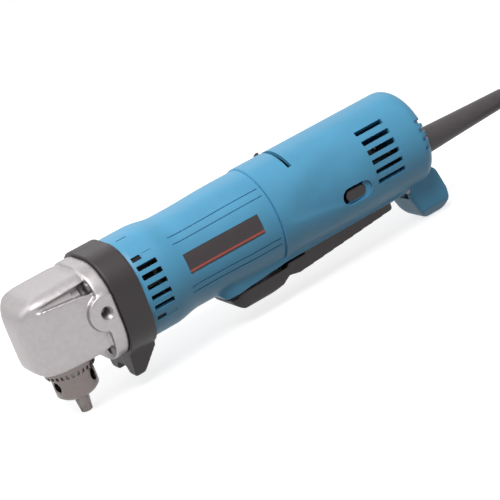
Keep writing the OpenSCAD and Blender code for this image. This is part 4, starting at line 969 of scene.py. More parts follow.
@dataclass
class GearHead:
    """The cast head with its flange, side handle bosses and screw scoops."""

    finishes: Finishes
    tree: CopyTree
    front: float = -22.5
    bottom: float = 32.6
    top: float = 78.5
    crown_drop: float = 0.3
    nose_drop: float = 2.0
    half_w: float = 25.5
    roof_half_w: float = 24.3
    nose_half_w: float = 20.8
    crown_r: float = 45.0
    brow_r: float = 16.0
    chin_r: float = 6.0
    nose_r: float = 17.0
    foot_r: float = 4.0
    shoulder_r: float = 14.0
    form_grain: Grain = (0.9, 90)
    edge_grain: Grain = (0.5, 24)
    flange_half: float = 28.7
    flange_r: float = 22.0
    handle: Point = (22.0, 28.7, 54.7)
    handle_r: float = 3.4
    handle_depth: float = 11.0
    boss_r: float = 10.5
    thread: tuple[Flat, ...] = ((-0.55, 3.6), (0.0, 3.05), (0.55, 3.6))
    thread_first: float = 1.4
    thread_pitch: float = 1.25
    thread_turns: int = 7
    scoop: tuple[Point, Point] = ((-1.0, 1.8, 1.0), (-34.0, 0.7, 2.0))
    scoop_r: Flat = (3.4, 0.9)
    well_r: float = 3.9
    well_depth: float = 5.0
    spindle_bore: tuple[Flat, ...] = (
        (30, 0), (30, 17.6), (43, 17.6), (43, 10.76), (44.5, 10.76), (44.5, 13.03), (52.5, 13.03),
        (52.5, 18.4), (63.9, 18.4), (63.9, 7.2), (70.5, 7.2), (70.5, 5.53), (76.3, 5.53), (76.3, 0))
    pinion_bore_r: float = 6.7

    def form(self) -> Body:
        """Makes the solid outer form with its flange and bosses.

        Returns:
            The outer form.
        """
        back = FLANGE_X + 1
        side = rounded([(back, self.bottom, 0), (back, self.top, 0),
                        (0, self.top - self.crown_drop, self.crown_r),
                        (self.front, self.top - self.nose_drop, self.brow_r),
                        (self.front, self.bottom, self.chin_r)], 24)
        plan = rounded([(back, -self.half_w, 0), (back, self.half_w, 0),
                        (self.front, self.nose_half_w, self.nose_r),
                        (self.front, -self.nose_half_w, self.nose_r)], 24)
        section = rounded([(-self.half_w, self.bottom, self.foot_r), (self.half_w, self.bottom, self.foot_r),
                           (self.roof_half_w, self.top, self.shoulder_r),
                           (-self.roof_half_w, self.top, self.shoulder_r)], 24)
        head = prism("gear_head", side, Axis.Y, -27, 27)
        combine(head, Join.KEEP, prism("plan", plan, Axis.Z, self.bottom, 96),
                prism("section", section, Axis.X, self.front - 1, back + 1))
        soften(head, *self.form_grain)
        flange = rounded_box(self.flange_half, self.flange_half, self.flange_r, AXIS_H)
        x, y, z = self.handle
        combine(head, Join.ADD, prism("flange", flange, Axis.X, FLANGE_X, COLLAR_X),
                *(rod("boss", (x, side * 12, z), (x, side * y, z), self.boss_r) for side in SIDES))
        return combine(head, Join.CUT, box("behind", (COLLAR_X, -40, 0), (60, 40, 110)))

    def cuts(self, head: Body) -> None:
        """Cuts the handle holes, the screw wells and the scoops.

        Args:
            head: The outer form.
        """
        x, y, z = self.handle
        deep, well_x = y - self.handle_depth, FLANGE_X - self.well_depth
        for side in SIDES:
            ends = [(FLANGE_X + a, side * (SCREW_Y + b), AXIS_H + SCREW_DROP + c) for a, b, c in self.scoop]
            wells = [spot for spot in FLANGE_SCREWS if spot[0] * side > 0]
            combine(head, Join.CUT,
                    rod("hole", (x, side * (y + 2), z), (x, side * deep, z), self.handle_r),
                    rod("scoop", *ends, *self.scoop_r),
                    *(rod_x("well", well_x, FLANGE_X, spot, self.well_r) for spot in wells))

    def inside(self, head: Body) -> None:
        """Bores the head for the spindle, the gears and the screws.

        Args:
            head: The softened head.
        """
        shaft = (0, COUNTER_H)
        combine(head, Join.CUT, turned("bore", self.spindle_bore, Axis.Z, steps=128),
                rod_x("pinion_bore", 0, 60, shaft, self.pinion_bore_r),
                rod_x("bearing_bore", FLANGE_X - 0.5, 60, shaft, BEARING_R),
                *(rod_x("screw_hole", 10, 60, spot, SCREW_HOLE_R) for spot in FLANGE_SCREWS))

    def threads(self) -> None:
        """Sets the thread rings in both side handle holes."""
        ring = turned("thread_ring", self.thread, Axis.Y, steps=40, ring=True)
        x, y, z = self.handle
        deep = [y - self.thread_first - self.thread_pitch * i for i in range(self.thread_turns)]
        spots = [((x, side * d, z), (0, 0, 0)) for side in SIDES for d in deep]
        rings = self.tree.place("side_handle_threads", ring, spots, self.finishes.cast)
        dress(rings, self.finishes.cast, "cast_aluminium")

    def build(self) -> None:
        """Makes the head and its threads."""
        head = self.form()
        self.cuts(head)
        soften(head, *self.edge_grain)
        self.inside(head)
        dress(head, self.finishes.cast, "cast_aluminium", "gear_housing", angle=50)
        self.threads()


@dataclass
class Collar:
    """The black collar with two feet between the head and the motor."""

    finishes: Finishes
    half: float = 30.6
    corner: float = 23.0
    grain: Grain = (0.5, 6)
    foot_h: float = 7.5
    foot_inner: float = 0.24
    foot_outer: float = 0.48
    foot_root: Flat = (0.62, 0.8)
    foot_slope: float = 0.65
    web: float = 0.38
    wall_x: float = 37.2
    boss_x: float = 47.4
    boss_r: float = 12.5
    gear_room_r: float = 21.42
    wheel_room_r: float = 12.15
    bush_x: float = 40.2
    bush_r: float = 4.03
    shaft_room_r: float = 4.6
    bearing_x: float = 41.4

    def form(self) -> Body:
        """Makes the collar's outer form with its feet.

        Returns:
            The outer form.
        """
        ring = prism("collar_moulding", rounded_box(self.half, self.half, self.corner, AXIS_H), Axis.X,
                     COLLAR_X, MOTOR_X)
        inn, out = self.half * self.foot_inner, self.half * self.foot_outer
        web = self.foot_h + out * self.web
        root_y, root_h = self.half * self.foot_root[0], AXIS_H - self.half * self.foot_root[1]
        foot = prism("feet", rounded([
            (-root_y, root_h, 0), (-out, self.foot_h, 3), (-inn, self.foot_h, 3), (-inn * 0.7, web, 2),
            (inn * 0.7, web, 2), (inn, self.foot_h, 3), (out, self.foot_h, 3), (root_y, root_h, 0)], 8),
            Axis.X, COLLAR_X, MOTOR_X + 1)
        slope = MOTOR_X - (MOTOR_X - COLLAR_X) * self.foot_slope
        top = AXIS_H - self.half * 0.6
        combine(foot, Join.KEEP, prism("foot_side", rounded([
            (COLLAR_X, top, 0), (COLLAR_X, self.foot_h, 2), (slope, self.foot_h, 3),
            (MOTOR_X, AXIS_H - self.half + 0.6, 3), (MOTOR_X, top, 0)], 8), Axis.Y, -40, 40))
        return combine(ring, Join.ADD, foot)

    def build(self) -> None:
        """Softens the collar and bores it for the gears and the front bearing."""
        ring = soften(self.form(), *self.grain)
        motor, shaft = (0, AXIS_H), (0, COUNTER_H)
        combine(ring, Join.ADD, rod_x("boss", self.wall_x, self.boss_x, motor, self.boss_r))
        combine(ring, Join.CUT, rod_x("gear_room", 20, self.wall_x, motor, self.gear_room_r),
                rod_x("wheel_room", 20, self.wall_x, shaft, self.wheel_room_r),
                rod_x("bush_seat", 36, self.bush_x, shaft, self.bush_r),
                rod_x("shaft_room", 36, 60, motor, self.shaft_room_r),
                rod_x("bearing_seat", self.bearing_x, 60, motor, BEARING_R),
                *(rod_x("screw_hole", 20, 60, spot, SCREW_HOLE_R) for spot in FLANGE_SCREWS))
        dress(ring, self.finishes.black, "black_plastic", "collar", angle=50)


Rule = Callable[[np.ndarray, np.ndarray], np.ndarray]


def round_shell(name: str, stations: Sequence[float], rule: Rule, steps: int = FINE_STEPS) -> Body:
    """A closed form round the motor axis whose radius follows a rule.

    Args:
        name: The piece's name.
        stations: Places along X in mm, from front to rear.
        rule: Radius in mm from places and angles, which run upward from the left side.
        steps: Steps round.

    Returns:
        The solid.
    """
    angles = np.linspace(0.0, 2 * np.pi, steps, endpoint=False)
    xs, turns = np.meshgrid(np.array(stations, float), angles, indexing="ij")
    r = rule(xs, turns)
    points = np.stack([xs, -r * np.cos(turns), AXIS_H + r * np.sin(turns)], axis=-1).reshape(-1, 3).tolist()
    starts = [i * steps for i in range(len(stations))]
    around = [(k, (k + 1) % steps) for k in range(steps)]
    faces = [[a + k, a + q, b + q, b + k] for a, b in zip(starts, starts[1:]) for k, q in around]
    for row, x in ((starts[0], stations[0]), (starts[-1], stations[-1])):
        points.append([x, 0.0, AXIS_H])
        middle = len(points) - 1
        faces += [[middle, row + k, row + q] for k, q in around]
    return solid(name, points, faces)


def skirt_radius(turns: np.ndarray, half_w: np.ndarray, low_h: np.ndarray) -> np.ndarray:
    """Distance from the motor axis to the sides and foot of the lever's skirt.

    Args:
        turns: Angles upward from the left side.
        half_w: Half width of the skirt.
        low_h: Height of its foot.

    Returns:
        The distance in mm, zero above the axis.
    """
    across = np.maximum(np.abs(np.cos(turns)), LEAST_SINE)
    down = np.maximum(-np.sin(turns), LEAST_SINE)
    side, foot = half_w / across, (AXIS_H - low_h) / down
    return np.where(np.sin(turns) < -0.05, -soft_max(-side, -foot, 0.8), 0.0)


def rounded_half(run: np.ndarray, r: float) -> np.ndarray:
    """Half width of the skirt, rounded in plan over a run from its end."""
    return SKIRT_HALF_W - r + np.sqrt(np.maximum(r ** 2 - (r - np.clip(run, 0.0, r)) ** 2, 0.0))


@dataclass(frozen=True)
class Slots:
    """Slots through or into a round wall, at angles upward from the left side."""

    x: float
    length: float
    width: float
    angles: tuple[float, ...]
    both_sides: bool = True
    corner: float = 0.3

    def cutter(self, tree: CopyTree, name: str, low_r: float = 20.0, high_r: float = 42.0) -> Body:
        """Makes the cutters of all slots.

        Args:
            tree: The tree that sets copies.
            name: The cutter's name.
            low_r: Radius where a cutter starts.
            high_r: Radius where it ends.

        Returns:
            The cutters as one mesh.
        """
        end_r = min(0.6, self.width * self.corner)
        one = prism("slot", rounded_box(self.length / 2, self.width / 2, end_r), Axis.Y, -high_r, -low_r)
        turns = list(self.angles) + ([180 - a for a in self.angles] if self.both_sides else [])
        spots = [((self.x + self.length / 2, 0, AXIS_H), (-a, 0, 0)) for a in turns]
        return tree.place(name, one, spots)


@dataclass
class MotorHousing:
    """The blue front housing with its vents, lines, badge and the skirt ahead of the lever."""

    finishes: Finishes
    tree: CopyTree
    flare_r: float = 30.6
    waist_r: float = 28.4
    grip_r: float = 29.4
    front_roll: Flat = (0.6, 4.0)
    waist_x: Flat = (62.3, 79.6)
    grip_x: Flat = (84.0, 122.0)
    lever_x: float = 96.4
    lever_play: float = 0.6
    lever_room_r: float = 10.0
    tip_x: float = 94.2
    tip_h: float = 21.6
    tip_run: float = 5.0
    tip_rise: float = 6.0
    nose_r: float = 14.0
    bore: tuple[Flat, ...] = ((44, 0), (44, 28), (61.4, 28), (63.3, 25.2), (137, 25.2), (137, 0))
    boss_r: float = 4.2
    boss_len: float = 14.0
    boss_bound: float = 0.4
    screw_r: float = 2.05
    screw_end_x: float = 58.5
    vents: Slots = Slots(47.8, 12.5, 3.0, (31.9, 21.3, 9.8, -2.0, -13.5))
    short_vents: Slots = Slots(47.8, 5.8, 3.0, (42.7, -27.0))
    short_vent_depth: float = 0.95
    panels: Slots = Slots(54.4, 6.4, 3.0, (42.7, -27.0))
    panel_depth: float = 0.25
    lines: Slots = Slots(73.0, 60.5, 0.75, (47.5, 37.5, -15.4, -23.3))
    line_depth: float = 0.55
    dashes: Slots = Slots(49.0, 6.5, 0.7, (75.0,))
    dash_depth: float = 0.5
    # Where the vents' painted shade goes: depth range below the flare in mm, half angle in degrees, and play
    # along X in mm.
    vent_shade_depth: Flat = (0.6, 6.5)
    vent_shade_half_deg: float = 3.6
    vent_shade_play: float = 0.1
    badge: Slots = Slots(75.0, 50.0, 11.8, (11.0,), both_sides=False, corner=0.0)
    badge_depth: float = 0.7
    badge_gap: float = 0.12
    badge_top: float = 0.14
    badge_back: float = -0.68
    badge_lip: float = 0.1
    stripe: Flat = (-4.7, -3.6)

    def skin(self, xs: np.ndarray) -> np.ndarray:
        """The plain round radius along the housing.

        Args:
            xs: Places along X in mm.

        Returns:
            The radius in mm.
        """
        roll, run = self.front_roll
        r = self.flare_r - roll * (1 - ease_between(xs, MOTOR_X, MOTOR_X + run))
        r = r + (self.waist_r - self.flare_r) * ease_between(xs, *self.waist_x)
        r = r + (self.grip_r - self.waist_r) * ease_between(xs, *self.grip_x)
        return r - SEAM_ROLL * ease_between(xs, SEAM_X - SEAM_RUN, SEAM_X)

    def rule(self, xs: np.ndarray, turns: np.ndarray) -> np.ndarray:
        """The housing's radius with the lever's skirt blended in.

        Args:
            xs: Places along X in mm.
            turns: Angles upward from the left side.

        Returns:
            The radius in mm.
        """
        start = self.tip_x - self.tip_run
        half = rounded_half(xs - start, self.nose_r)
        tip = self.tip_h + self.tip_rise * (1 - np.clip((xs - start) / self.tip_run, 0, 1) ** 1.6)
        foot = self.tip_h + (SKIRT_FOOT_H - self.tip_h) * (xs - self.tip_x) / (SEAM_X - self.tip_x)
        low = np.where(xs < self.tip_x, tip, foot)
        skirt = np.where(xs > start - 0.01, skirt_radius(turns, half, low), 0.0)
        return soft_max(self.skin(xs), skirt, SKIRT_BLEND)

    def drawn_in(self, name: str, depth: float) -> Body:
        """The round form drawn in by a depth, to bound shallow cuts."""
        stations = np.linspace(MOTOR_X - 0.5, SEAM_X + 0.5, 93)
        return round_shell(name, stations, lambda xs, _: self.skin(xs) - depth)

    def form(self) -> Body:
        """Makes the hollow shell with its lever room, vents and screw bosses.

        Returns:
            The shell.
        """
        stations = sorted({*np.linspace(MOTOR_X, 88, 44), *np.linspace(88, 100, 41),
                           *np.linspace(100, 135, 36), 135.4, 135.7, 135.9, SEAM_X})
        shell = round_shell("motor_housing_shell", stations, self.rule, 288)
        front, w = self.lever_x - self.lever_play, LEVER_ROOM_HALF_W
        room = prism("lever_room", rounded([(front, -w, self.lever_room_r), (150, -w, 0), (150, w, 0),
                                            (front, w, self.lever_room_r)], 12), Axis.Z, 2, 40)
        combine(room, Join.CUT, self.drawn_in("room_roof", 0.0))
        combine(shell, Join.CUT, room, turned("bore", self.bore, Axis.X, (0, 0, AXIS_H), FINE_STEPS),
                self.vents.cutter(self.tree, "vents"))
        boss_end = MOTOR_X + self.boss_len
        bosses = [rod_x("boss", MOTOR_X, boss_end, spot, self.boss_r) for spot in FLANGE_SCREWS]
        combine(bosses[0], Join.ADD, *bosses[1:])
        combine(bosses[0], Join.KEEP, self.drawn_in("boss_bound", self.boss_bound))
        combine(shell, Join.ADD, bosses[0])
        return combine(shell, Join.CUT, *(rod_x("screw_hole", 40, self.screw_end_x, spot, self.screw_r)
                                          for spot in FLANGE_SCREWS))

    def build(self) -> None:
        """Makes the housing with its shallow cuts, painted shade in its vents, and its badge."""
        shell = self.form()
        for name, slots, depth in (("short_vents", self.short_vents, self.short_vent_depth),
                                   ("panels", self.panels, self.panel_depth),
                                   ("lines", self.lines, self.line_depth),
                                   ("dashes", self.dashes, self.dash_depth),
                                   ("badge_bed", self.badge, self.badge_depth)):
            cutter = slots.cutter(self.tree, name, 24.0, 36.0)
            combine(cutter, Join.CUT, self.drawn_in("floor_of_" + name, depth))
            combine(shell, Join.CUT, cutter)
        dress(shell, self.finishes.blue, "blue_plastic", "motor_housing", angle=30)
        # Painted shade: vent floors and the low part of vent walls take the near-black matt finish.
        shell.data.materials.append(self.finishes.vent_shade)
        for poly in shell.data.polygons:
            if self.in_vent_shade(poly.center / MM):
                poly.material_index = 1
        self.badge_plate()

    def in_vent_shade(self, spot: Vector) -> bool:
        """Whether a point lies on a vent's floor or low on its walls, where shade is painted in near-black.

        Args:
            spot: The point in mm.

        Returns:
            True where the vent's painted shade goes.
        """
        y, z = abs(spot.y), spot.z - AXIS_H
        turn = math.degrees(math.atan2(z, y))
        if not self.vent_shade_depth[0] < self.flare_r - math.hypot(y, z) < self.vent_shade_depth[1]:
            return False
        return any(min(abs(turn - a) for a in vent.angles) < self.vent_shade_half_deg
                   and -self.vent_shade_play < spot.x - vent.x < vent.length + self.vent_shade_play
                   for vent in (self.vents, self.short_vents))

    def badge_plate(self) -> None:
        """Makes the bare badge with its thin stripe, on the housing's curve."""
        badge, angle = self.badge, math.radians(self.badge.angles[0])
        half = badge.width / 2 - self.badge_gap
        xs = np.linspace(badge.x + self.badge_gap, badge.x + badge.length - self.badge_gap, 61)
        across = np.array(sorted({*np.linspace(-half, half, 13), *self.stripe}))
        rows, cols = len(xs), len(across)
        points, faces = [], []
        for lift in (self.badge_top, self.badge_back):
            for x in xs:
                r = float(self.skin(np.array([x]))[0]) + lift
                for s in across:
                    edge = x in (xs[0], xs[-1]) or s in (across[0], across[-1])
                    low = r - self.badge_lip if edge and lift > 0 else r
                    a = angle + s / r
                    points.append((x, -low * math.cos(a), AXIS_H + low * math.sin(a)))
        step = rows * cols
        for i in range(rows - 1):
            for k in range(cols - 1):
                a, b, c, d = i * cols + k, (i + 1) * cols + k, (i + 1) * cols + k + 1, i * cols + k + 1
                faces += [[a, b, c, d], [step + d, step + c, step + b, step + a]]
        rim = ([i * cols for i in range(rows)] + [(rows - 1) * cols + k for k in range(1, cols)]
               + [i * cols + cols - 1 for i in range(rows - 2, -1, -1)] + list(range(cols - 2, 0, -1)))
        faces += [[a, b, step + b, step + a] for a, b in zip(rim, rim[1:] + rim[:1])]
        plate = solid("badge_film_plate", points, faces)
        dress(plate, self.finishes.film, "badge_film", "badge_plate", angle=30)
        plate.data.materials.append(self.finishes.stripe)
        for poly in plate.data.polygons:
            y, z = poly.center.y / MM, poly.center.z / MM - AXIS_H
            r = math.hypot(y, z)
            s = (math.atan2(z, -y) - angle) * r
            if self.stripe[0] < s < self.stripe[1] and r > self.waist_r - 0.2:
                poly.material_index = 1


@dataclass
class RearCovers:
    """The two blue rear cover halves with their lug, vents and recesses."""

    finishes: Finishes
    tree: CopyTree
    cover_r: float = 30.2
    wall: float = 2.6
    edge: float = 8.0
    skirt_end_r: float = 9.0
    dish: float = 1.3
    dish_at: Flat = (140.0, 6.3)
    dish_way: Flat = (0.92, 0.391)
    dish_across: tuple[Flat, Flat] = ((-5, 11), (13, 40))
    dish_along: tuple[Flat, Flat] = ((0, 16), (34, 60))
    crease: Flat = (139.0, 50.4)
    crease_fall: float = 0.197
    crease_width: float = 0.9
    crease_x: tuple[Flat, Flat] = ((137, 146), (196, 222))
    crease_foot: Flat = (25, 31)
    swell: float = 0.7
    lug_x: Flat = (229.0, 255.5)
    lug_half_w: float = 12.5
    lug_grain: Grain = (0.6, 24)
    hinge_h: float = 23.5
    hinge_r: float = 2.03
    guard_r: float = 6.45
    vents: Slots = Slots(203.0, 19.5, 3.1, (46.7, 33.2, 21.3, 9.7, -1.8, -13.6))
    notches: Slots = Slots(239.0, 12.0, 2.6, (26.0, 15.5, 5.0, -5.5))
    notch_depth: float = 1.4
    reverse_x: Flat = (156.6, 159.4)
    reverse_deg: Flat = (51, 129)
    button: Flat = (187.5, 44.6)
    button_hole: Flat = (14.2, 7.0)
    recess_size: Flat = (20.0, 10.4)
    recess_place: Flat = (1.0, -26.6)
    recess_turn: float = -9.0
    screws: tuple[Point, ...] = ((148.1, 17.57, 72.14), (189.9, 16.31, 73.35), (233.9, 19.7, 69.72),
                                 (242.0, 10.5, 12.0))
    screw_well_r: float = 3.5
    screw_r: float = 1.65
    parting: float = 0.05

    def skin(self, xs: np.ndarray, wall: float = 0.0) -> np.ndarray:
        """The round radius along the covers.

        Args:
            xs: Places along X in mm.
            wall: How far it is drawn in.

        Returns:
            The radius in mm.
        """
        over = np.clip(xs - (REAR_X - self.edge), 0.0, self.edge - wall)
        round_end = self.cover_r - self.edge + np.sqrt(np.maximum((self.edge - wall) ** 2 - over ** 2, 0.0))
        return np.where(xs > REAR_X - self.edge, round_end, self.cover_r - wall)

    def rule(self, xs: np.ndarray, turns: np.ndarray) -> np.ndarray:
        """The covers' radius with the skirt, the thumb dish and the side crease.

        Args:
            xs: Places along X in mm.
            turns: Angles upward from the left side.

        Returns:
            The radius in mm.
        """
        r = self.skin(xs) - SEAM_ROLL * (1 - ease_between(xs, SEAM_X, SEAM_X + SEAM_RUN))
        half = rounded_half(HINGE_X - xs, self.skirt_end_r)
        skirt = np.where(xs < HINGE_X, skirt_radius(turns, half, np.full_like(xs, SKIRT_FOOT_H)), 0.0)
        run, rise = xs - self.dish_at[0], np.arcsin(np.sin(turns)) * self.cover_r - self.dish_at[1]
        past = run * self.dish_way[1] - rise * self.dish_way[0]
        along = run * self.dish_way[0] + rise * self.dish_way[1]
        dish = self.dish * ease_window(past, *self.dish_across) * ease_window(along, *self.dish_along)
        height = AXIS_H + self.cover_r * np.sin(turns)
        crease = self.crease[1] - self.crease_fall * (xs - self.crease[0])
        swell = self.swell / (1 + np.exp((height - crease) / self.crease_width))
        swell = swell * ease_window(xs, *self.crease_x) * ease_between(height, *self.crease_foot)
        return soft_max(r - dish + swell, skirt, SKIRT_BLEND)

    def lug(self) -> Body:
        """Makes the lug under the rear end.

        Returns:
            The lug's solid.
        """
        half, (front, back) = self.lug_half_w, self.lug_x
        root, top = AXIS_H - self.cover_r + 2 * self.wall, AXIS_H - self.cover_r * 0.6
        form = prism("lug", rounded([
            (front, root, 0), (front + 0.6, 16.7, 4), (front + half * 0.55, 0.02, 8),
            (back - half * 0.1, 0.02, 7), (back, half, 6),
            (REAR_X + half * 0.45, AXIS_H - self.cover_r * 0.72, 8), (REAR_X - self.edge, top, 0),
            (front, top, 0)], 10), Axis.Y, -half, half)
        foot = prism("lug_section", rounded([
            (-half - 1, AXIS_H, 0), (-half - 1, 8, 4), (-7, 0, 4), (7, 0, 4), (half + 1, 8, 4),
            (half + 1, AXIS_H, 0)], 10), Axis.X, front - 5, back + 5)
        return soften(combine(form, Join.KEEP, foot), *self.lug_grain)

    def recess(self) -> Body:
        """Makes the lock button's recess, deep at the front and fading rearward.

        Returns:
            The cutter.
        """
        x, h = self.button
        ahead, y = self.recess_place
        oval = prism("recess", stadium(*self.recess_size), Axis.Y, -14.0, 0.0)
        oval.data.transform(Matrix.Rotation(math.radians(self.recess_turn), 4, "Z"))
        oval.data.transform(Matrix.Translation(Vector((x + ahead, y, h)) * MM))
        return oval

    def form(self) -> Body:
        """Makes the hollow form of both halves with its lug and end notches.

        Returns:
            The whole form.
        """
        arc = [REAR_X - self.edge + self.edge * math.sin(math.radians(a)) for a in range(0, 91, 6)]
        stations = sorted({SEAM_X, 136.15, 136.3, 136.5, *np.linspace(137, 217, 81),
                           *np.linspace(217, 232, 31), *np.linspace(232, 238, 7), *arc})
        stations = [s for i, s in enumerate(stations) if i == 0 or s - stations[i - 1] > 1e-4]
        whole = round_shell("rear_covers", stations, self.rule, 288)
        inner_x, notch_x = REAR_X - self.wall, REAR_X - self.notch_depth
        inner = [SEAM_X - self.wall] + [s for s in stations if s < inner_x - 0.02] + [inner_x]
        hollow = round_shell("hollow", inner, lambda xs, _: self.skin(xs, self.wall))
        combine(whole, Join.ADD, combine(self.lug(), Join.CUT, hollow, drop=False))
        w = LEVER_ROOM_HALF_W
        combine(whole, Join.CUT, hollow, box("lever_room", (SEAM_X - 2, -w, -1), (215, w, 32.1)),
                box("hinge_room", (214, -9.3, 17), (234.5, 9.3, 28.8)),
                rod("hinge_hole", (HINGE_X, -30, self.hinge_h), (HINGE_X, 30, self.hinge_h), self.hinge_r),
                rod_x("guard_hole", REAR_X - 6, REAR_X + 20, (0, CORD_H), self.guard_r),
                self.vents.cutter(self.tree, "vents"))
        notch = self.notches.cutter(self.tree, "notches", 14.0)
        under = [s for s in inner if s < notch_x] + [notch_x]
        depth = self.notch_depth
        combine(notch, Join.CUT, round_shell("notch_floor", under, lambda xs, _: self.skin(xs, depth)))
        return combine(whole, Join.CUT, notch)

    def openings(self, whole: Body) -> None:
        """Cuts the reverse lever's slot, the button's recess and hole, and the screw holes.

        Args:
            whole: The hollow form.
        """
        arcs = ((42, np.linspace(*self.reverse_deg, 25)), (20, np.linspace(*self.reverse_deg[::-1], 25)))
        slot = [(r * math.cos(a), AXIS_H + r * math.sin(a))
                for r, degrees in arcs for a in np.radians(degrees)]
        x, h = self.button
        hole = [(x + a, h + b) for a, b in stadium(*self.button_hole)]
        combine(whole, Join.CUT, prism("reverse_slot", slot, Axis.X, *self.reverse_x), self.recess(),
                prism("button_hole", hole, Axis.Y, -45, -14))
        for sx, sy, sz in self.screws:
            combine(whole, Join.CUT, rod("screw_well", (sx, sy, sz), (sx, 45, sz), self.screw_well_r),
                    rod("screw_hole", (sx, -12, sz), (sx, 45, sz), self.screw_r))

    def build(self) -> None:
        """Makes the whole cover form, cuts it and parts it into halves."""
        left = self.form()
        self.openings(left)
        right = new_object("rear_cover_right_shell", left.data.copy())
        left.name = "rear_cover_left_shell"
        combine(left, Join.KEEP, box("left_half", (100, -60, -20), (300, -self.parting, 120)))
        combine(right, Join.KEEP, box("right_half", (100, self.parting, -20), (300, 60, 120)))
        dress(left, self.finishes.blue, "blue_plastic", "rear_cover_left", angle=30)
        dress(right, self.finishes.blue, "blue_plastic", "rear_cover_right", angle=30)


# Moving pieces

@dataclass
class SwitchGroup:
    """The paddle lever with its spring, the lock button and the reverse lever."""

    finishes: Finishes
    lever_grain: Grain = (0.6, 9)
    button_grain: Grain = (0.28, 6)
    reverse_grain: Grain = (0.3, 4)
    nose_fill: tuple[Point, Point] = ((97.2, -16.0, 11.6), (116.0, 16.0, 24.0))
    nose_room: Flat = (0, 46.3)
    nose_room_r: float = 30.6
    half_w: float = 17.5
    front: Flat = (96.3, 96.2)
    plan_r: float = 15.0
    foot_h: float = 10.3
    travel: float = 2.0
    play: float = 0.3

    def nose(self, lever: Body) -> None:
        """Fills the lever's hollow nose and rounds it in plan and from the side.

        Args:
            lever: The copy of the lever's solid.
        """
        fill = box("nose_fill", *self.nose_fill)
        combine(fill, Join.CUT, rod_x("housing_room", 90, 130, self.nose_room, self.nose_room_r))
        combine(lever, Join.ADD, fill)
        (plan_x, side_x), w = self.front, self.half_w
        plan = rounded([(plan_x, -w, self.plan_r), (300, -w, 0), (300, w, 0), (plan_x, w, self.plan_r)])
        side = rounded([(side_x, 60, 0), (side_x, 24, 4), (101.5, self.foot_h, 9), (300, self.foot_h, 0),
                        (300, 60, 0)])
        combine(lever, Join.KEEP, prism("lever_plan", plan, Axis.Z, -5, 90),
                prism("lever_nose", side, Axis.Y, -30, 30))

    def build(self) -> None:
        """Softens each moving piece of the switch."""
        lever = copy_of("switch_lever_paddle", "switch_lever")
        self.nose(lever)
        button = copy_of("lock_button_cap", "lock_button")
        blade = copy_of("reverse_lever_blade", "reverse_lever")
        for piece, node, body, grain in ((lever, "switch_lever", "lever", self.lever_grain),
                                         (button, "lock_button", "lock_button", self.button_grain),
                                         (blade, "reverse_lever", "reverse_lever", self.reverse_grain)):
            soften(piece, *grain)
            dress(piece, self.finishes.black, "black_plastic", node, body=body, angle=50)
        self.spring()

    def spring(self) -> None:
        """Makes the return spring from a copy of its CAD solid, with a mesh of its own."""
        spring = copy_of("lever_return_spring", "lever_spring")
        dress(spring, self.finishes.steel, "bright_steel", "lever_spring", angle=50)
        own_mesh(spring)


@dataclass
class Chuck:
    """The keyed chuck: turned body and toothed sleeve round the three jaws."""

    finishes: Finishes
    tree: CopyTree
    profile: tuple[Flat, ...] = (
        (11.4, 0), (11.4, 9.5), (11.75, 10.1), (13.6, 12.1), (14.2, 12.4), (25.2, 12.4), (25.6, 12.0),
        (25.6, 9.6), (31.2, 9.6), (31.2, 11), (42, 11), (42, 0))
    shank_r: float = 5.2
    spindle_r: float = 4.79
    key_angle: float = 192.0
    key_h: float = 20.5
    key_r: float = 3.0
    key_depth: float = 7.6
    lip_r: Flat = (2.9, 4.0)
    lip_x: Flat = (11.4, 13.0)
    jaw_lean: float = 15.0
    jaw_foot: float = 1.7
    jaw_r: float = 2.65
    jaw_reach: float = 80.0
    sleeve_h: float = 25.9
    sleeve_r: float = 15.0
    teeth: int = 30
    tooth_gap: tuple[Flat, ...] = ((-2.2, -0.7), (1.0, -0.95), (1.0, 0.95), (-2.2, 0.7))

    def body(self) -> None:
        """Turns the chuck's body and cuts its bores and key holes."""
        body = turned("chuck_turned_body", self.profile, Axis.Z, steps=128)
        combine(body, Join.CUT, rod("shank_bore", (0, 0, 0), (0, 0, 24), self.shank_r),
                rod("spindle_bore", (0, 0, 23), (0, 0, 60), self.spindle_r))
        foot, reach, h, deep = self.jaw_foot, self.jaw_reach, self.key_h, self.key_depth
        head = foot + reach * math.tan(math.radians(self.jaw_lean))
        start, end = self.lip_x
        for k in range(3):
            a = math.radians(self.key_angle + 120 * k)
            c, s = math.cos(a), math.sin(a)
            combine(body, Join.CUT,
                    rod("jaw_bore", (-foot * c, -foot * s, 0), (-head * c, -head * s, reach), self.jaw_r),
                    rod("key_hole", (deep * c, deep * s, h), (20 * c, 20 * s, h), self.key_r),
                    rod("key_lip", (start * c, start * s, h), (end * c, end * s, h), *self.lip_r))
        dress(body, self.finishes.steel, "bright_steel", "chuck_body", body="spindle", angle=30)

    def sleeve(self) -> None:
        """Turns the sleeve and cuts the key's teeth round its lower edge."""
        r, h = self.sleeve_r, self.sleeve_h
        sleeve = turned("chuck_toothed_sleeve", [
            (h, 11.8), (h, r - 0.6), (28.3, r), (32.7, r), (33.2, r - 0.4), (33.2, 13.7), (26.6, 13.7),
            (26.6, 11.8)], Axis.Z, steps=180, ring=True)
        gap = prism("tooth_gap", self.tooth_gap, Axis.Z, -1.1, 2.5)
        turns = [2 * math.pi * i / self.teeth for i in range(self.teeth)]
        spots = [((r * math.cos(t), r * math.sin(t), h), (0, 0, math.degrees(t))) for t in turns]
        combine(sleeve, Join.CUT, self.tree.place("tooth_gaps", gap, spots))
        dress(sleeve, self.finishes.steel, "bright_steel", "chuck_sleeve", body="sleeve", angle=30)

    def build(self) -> None:
        """Makes the turned pieces; the jaws keep their solids."""
        self.body()
        self.sleeve()


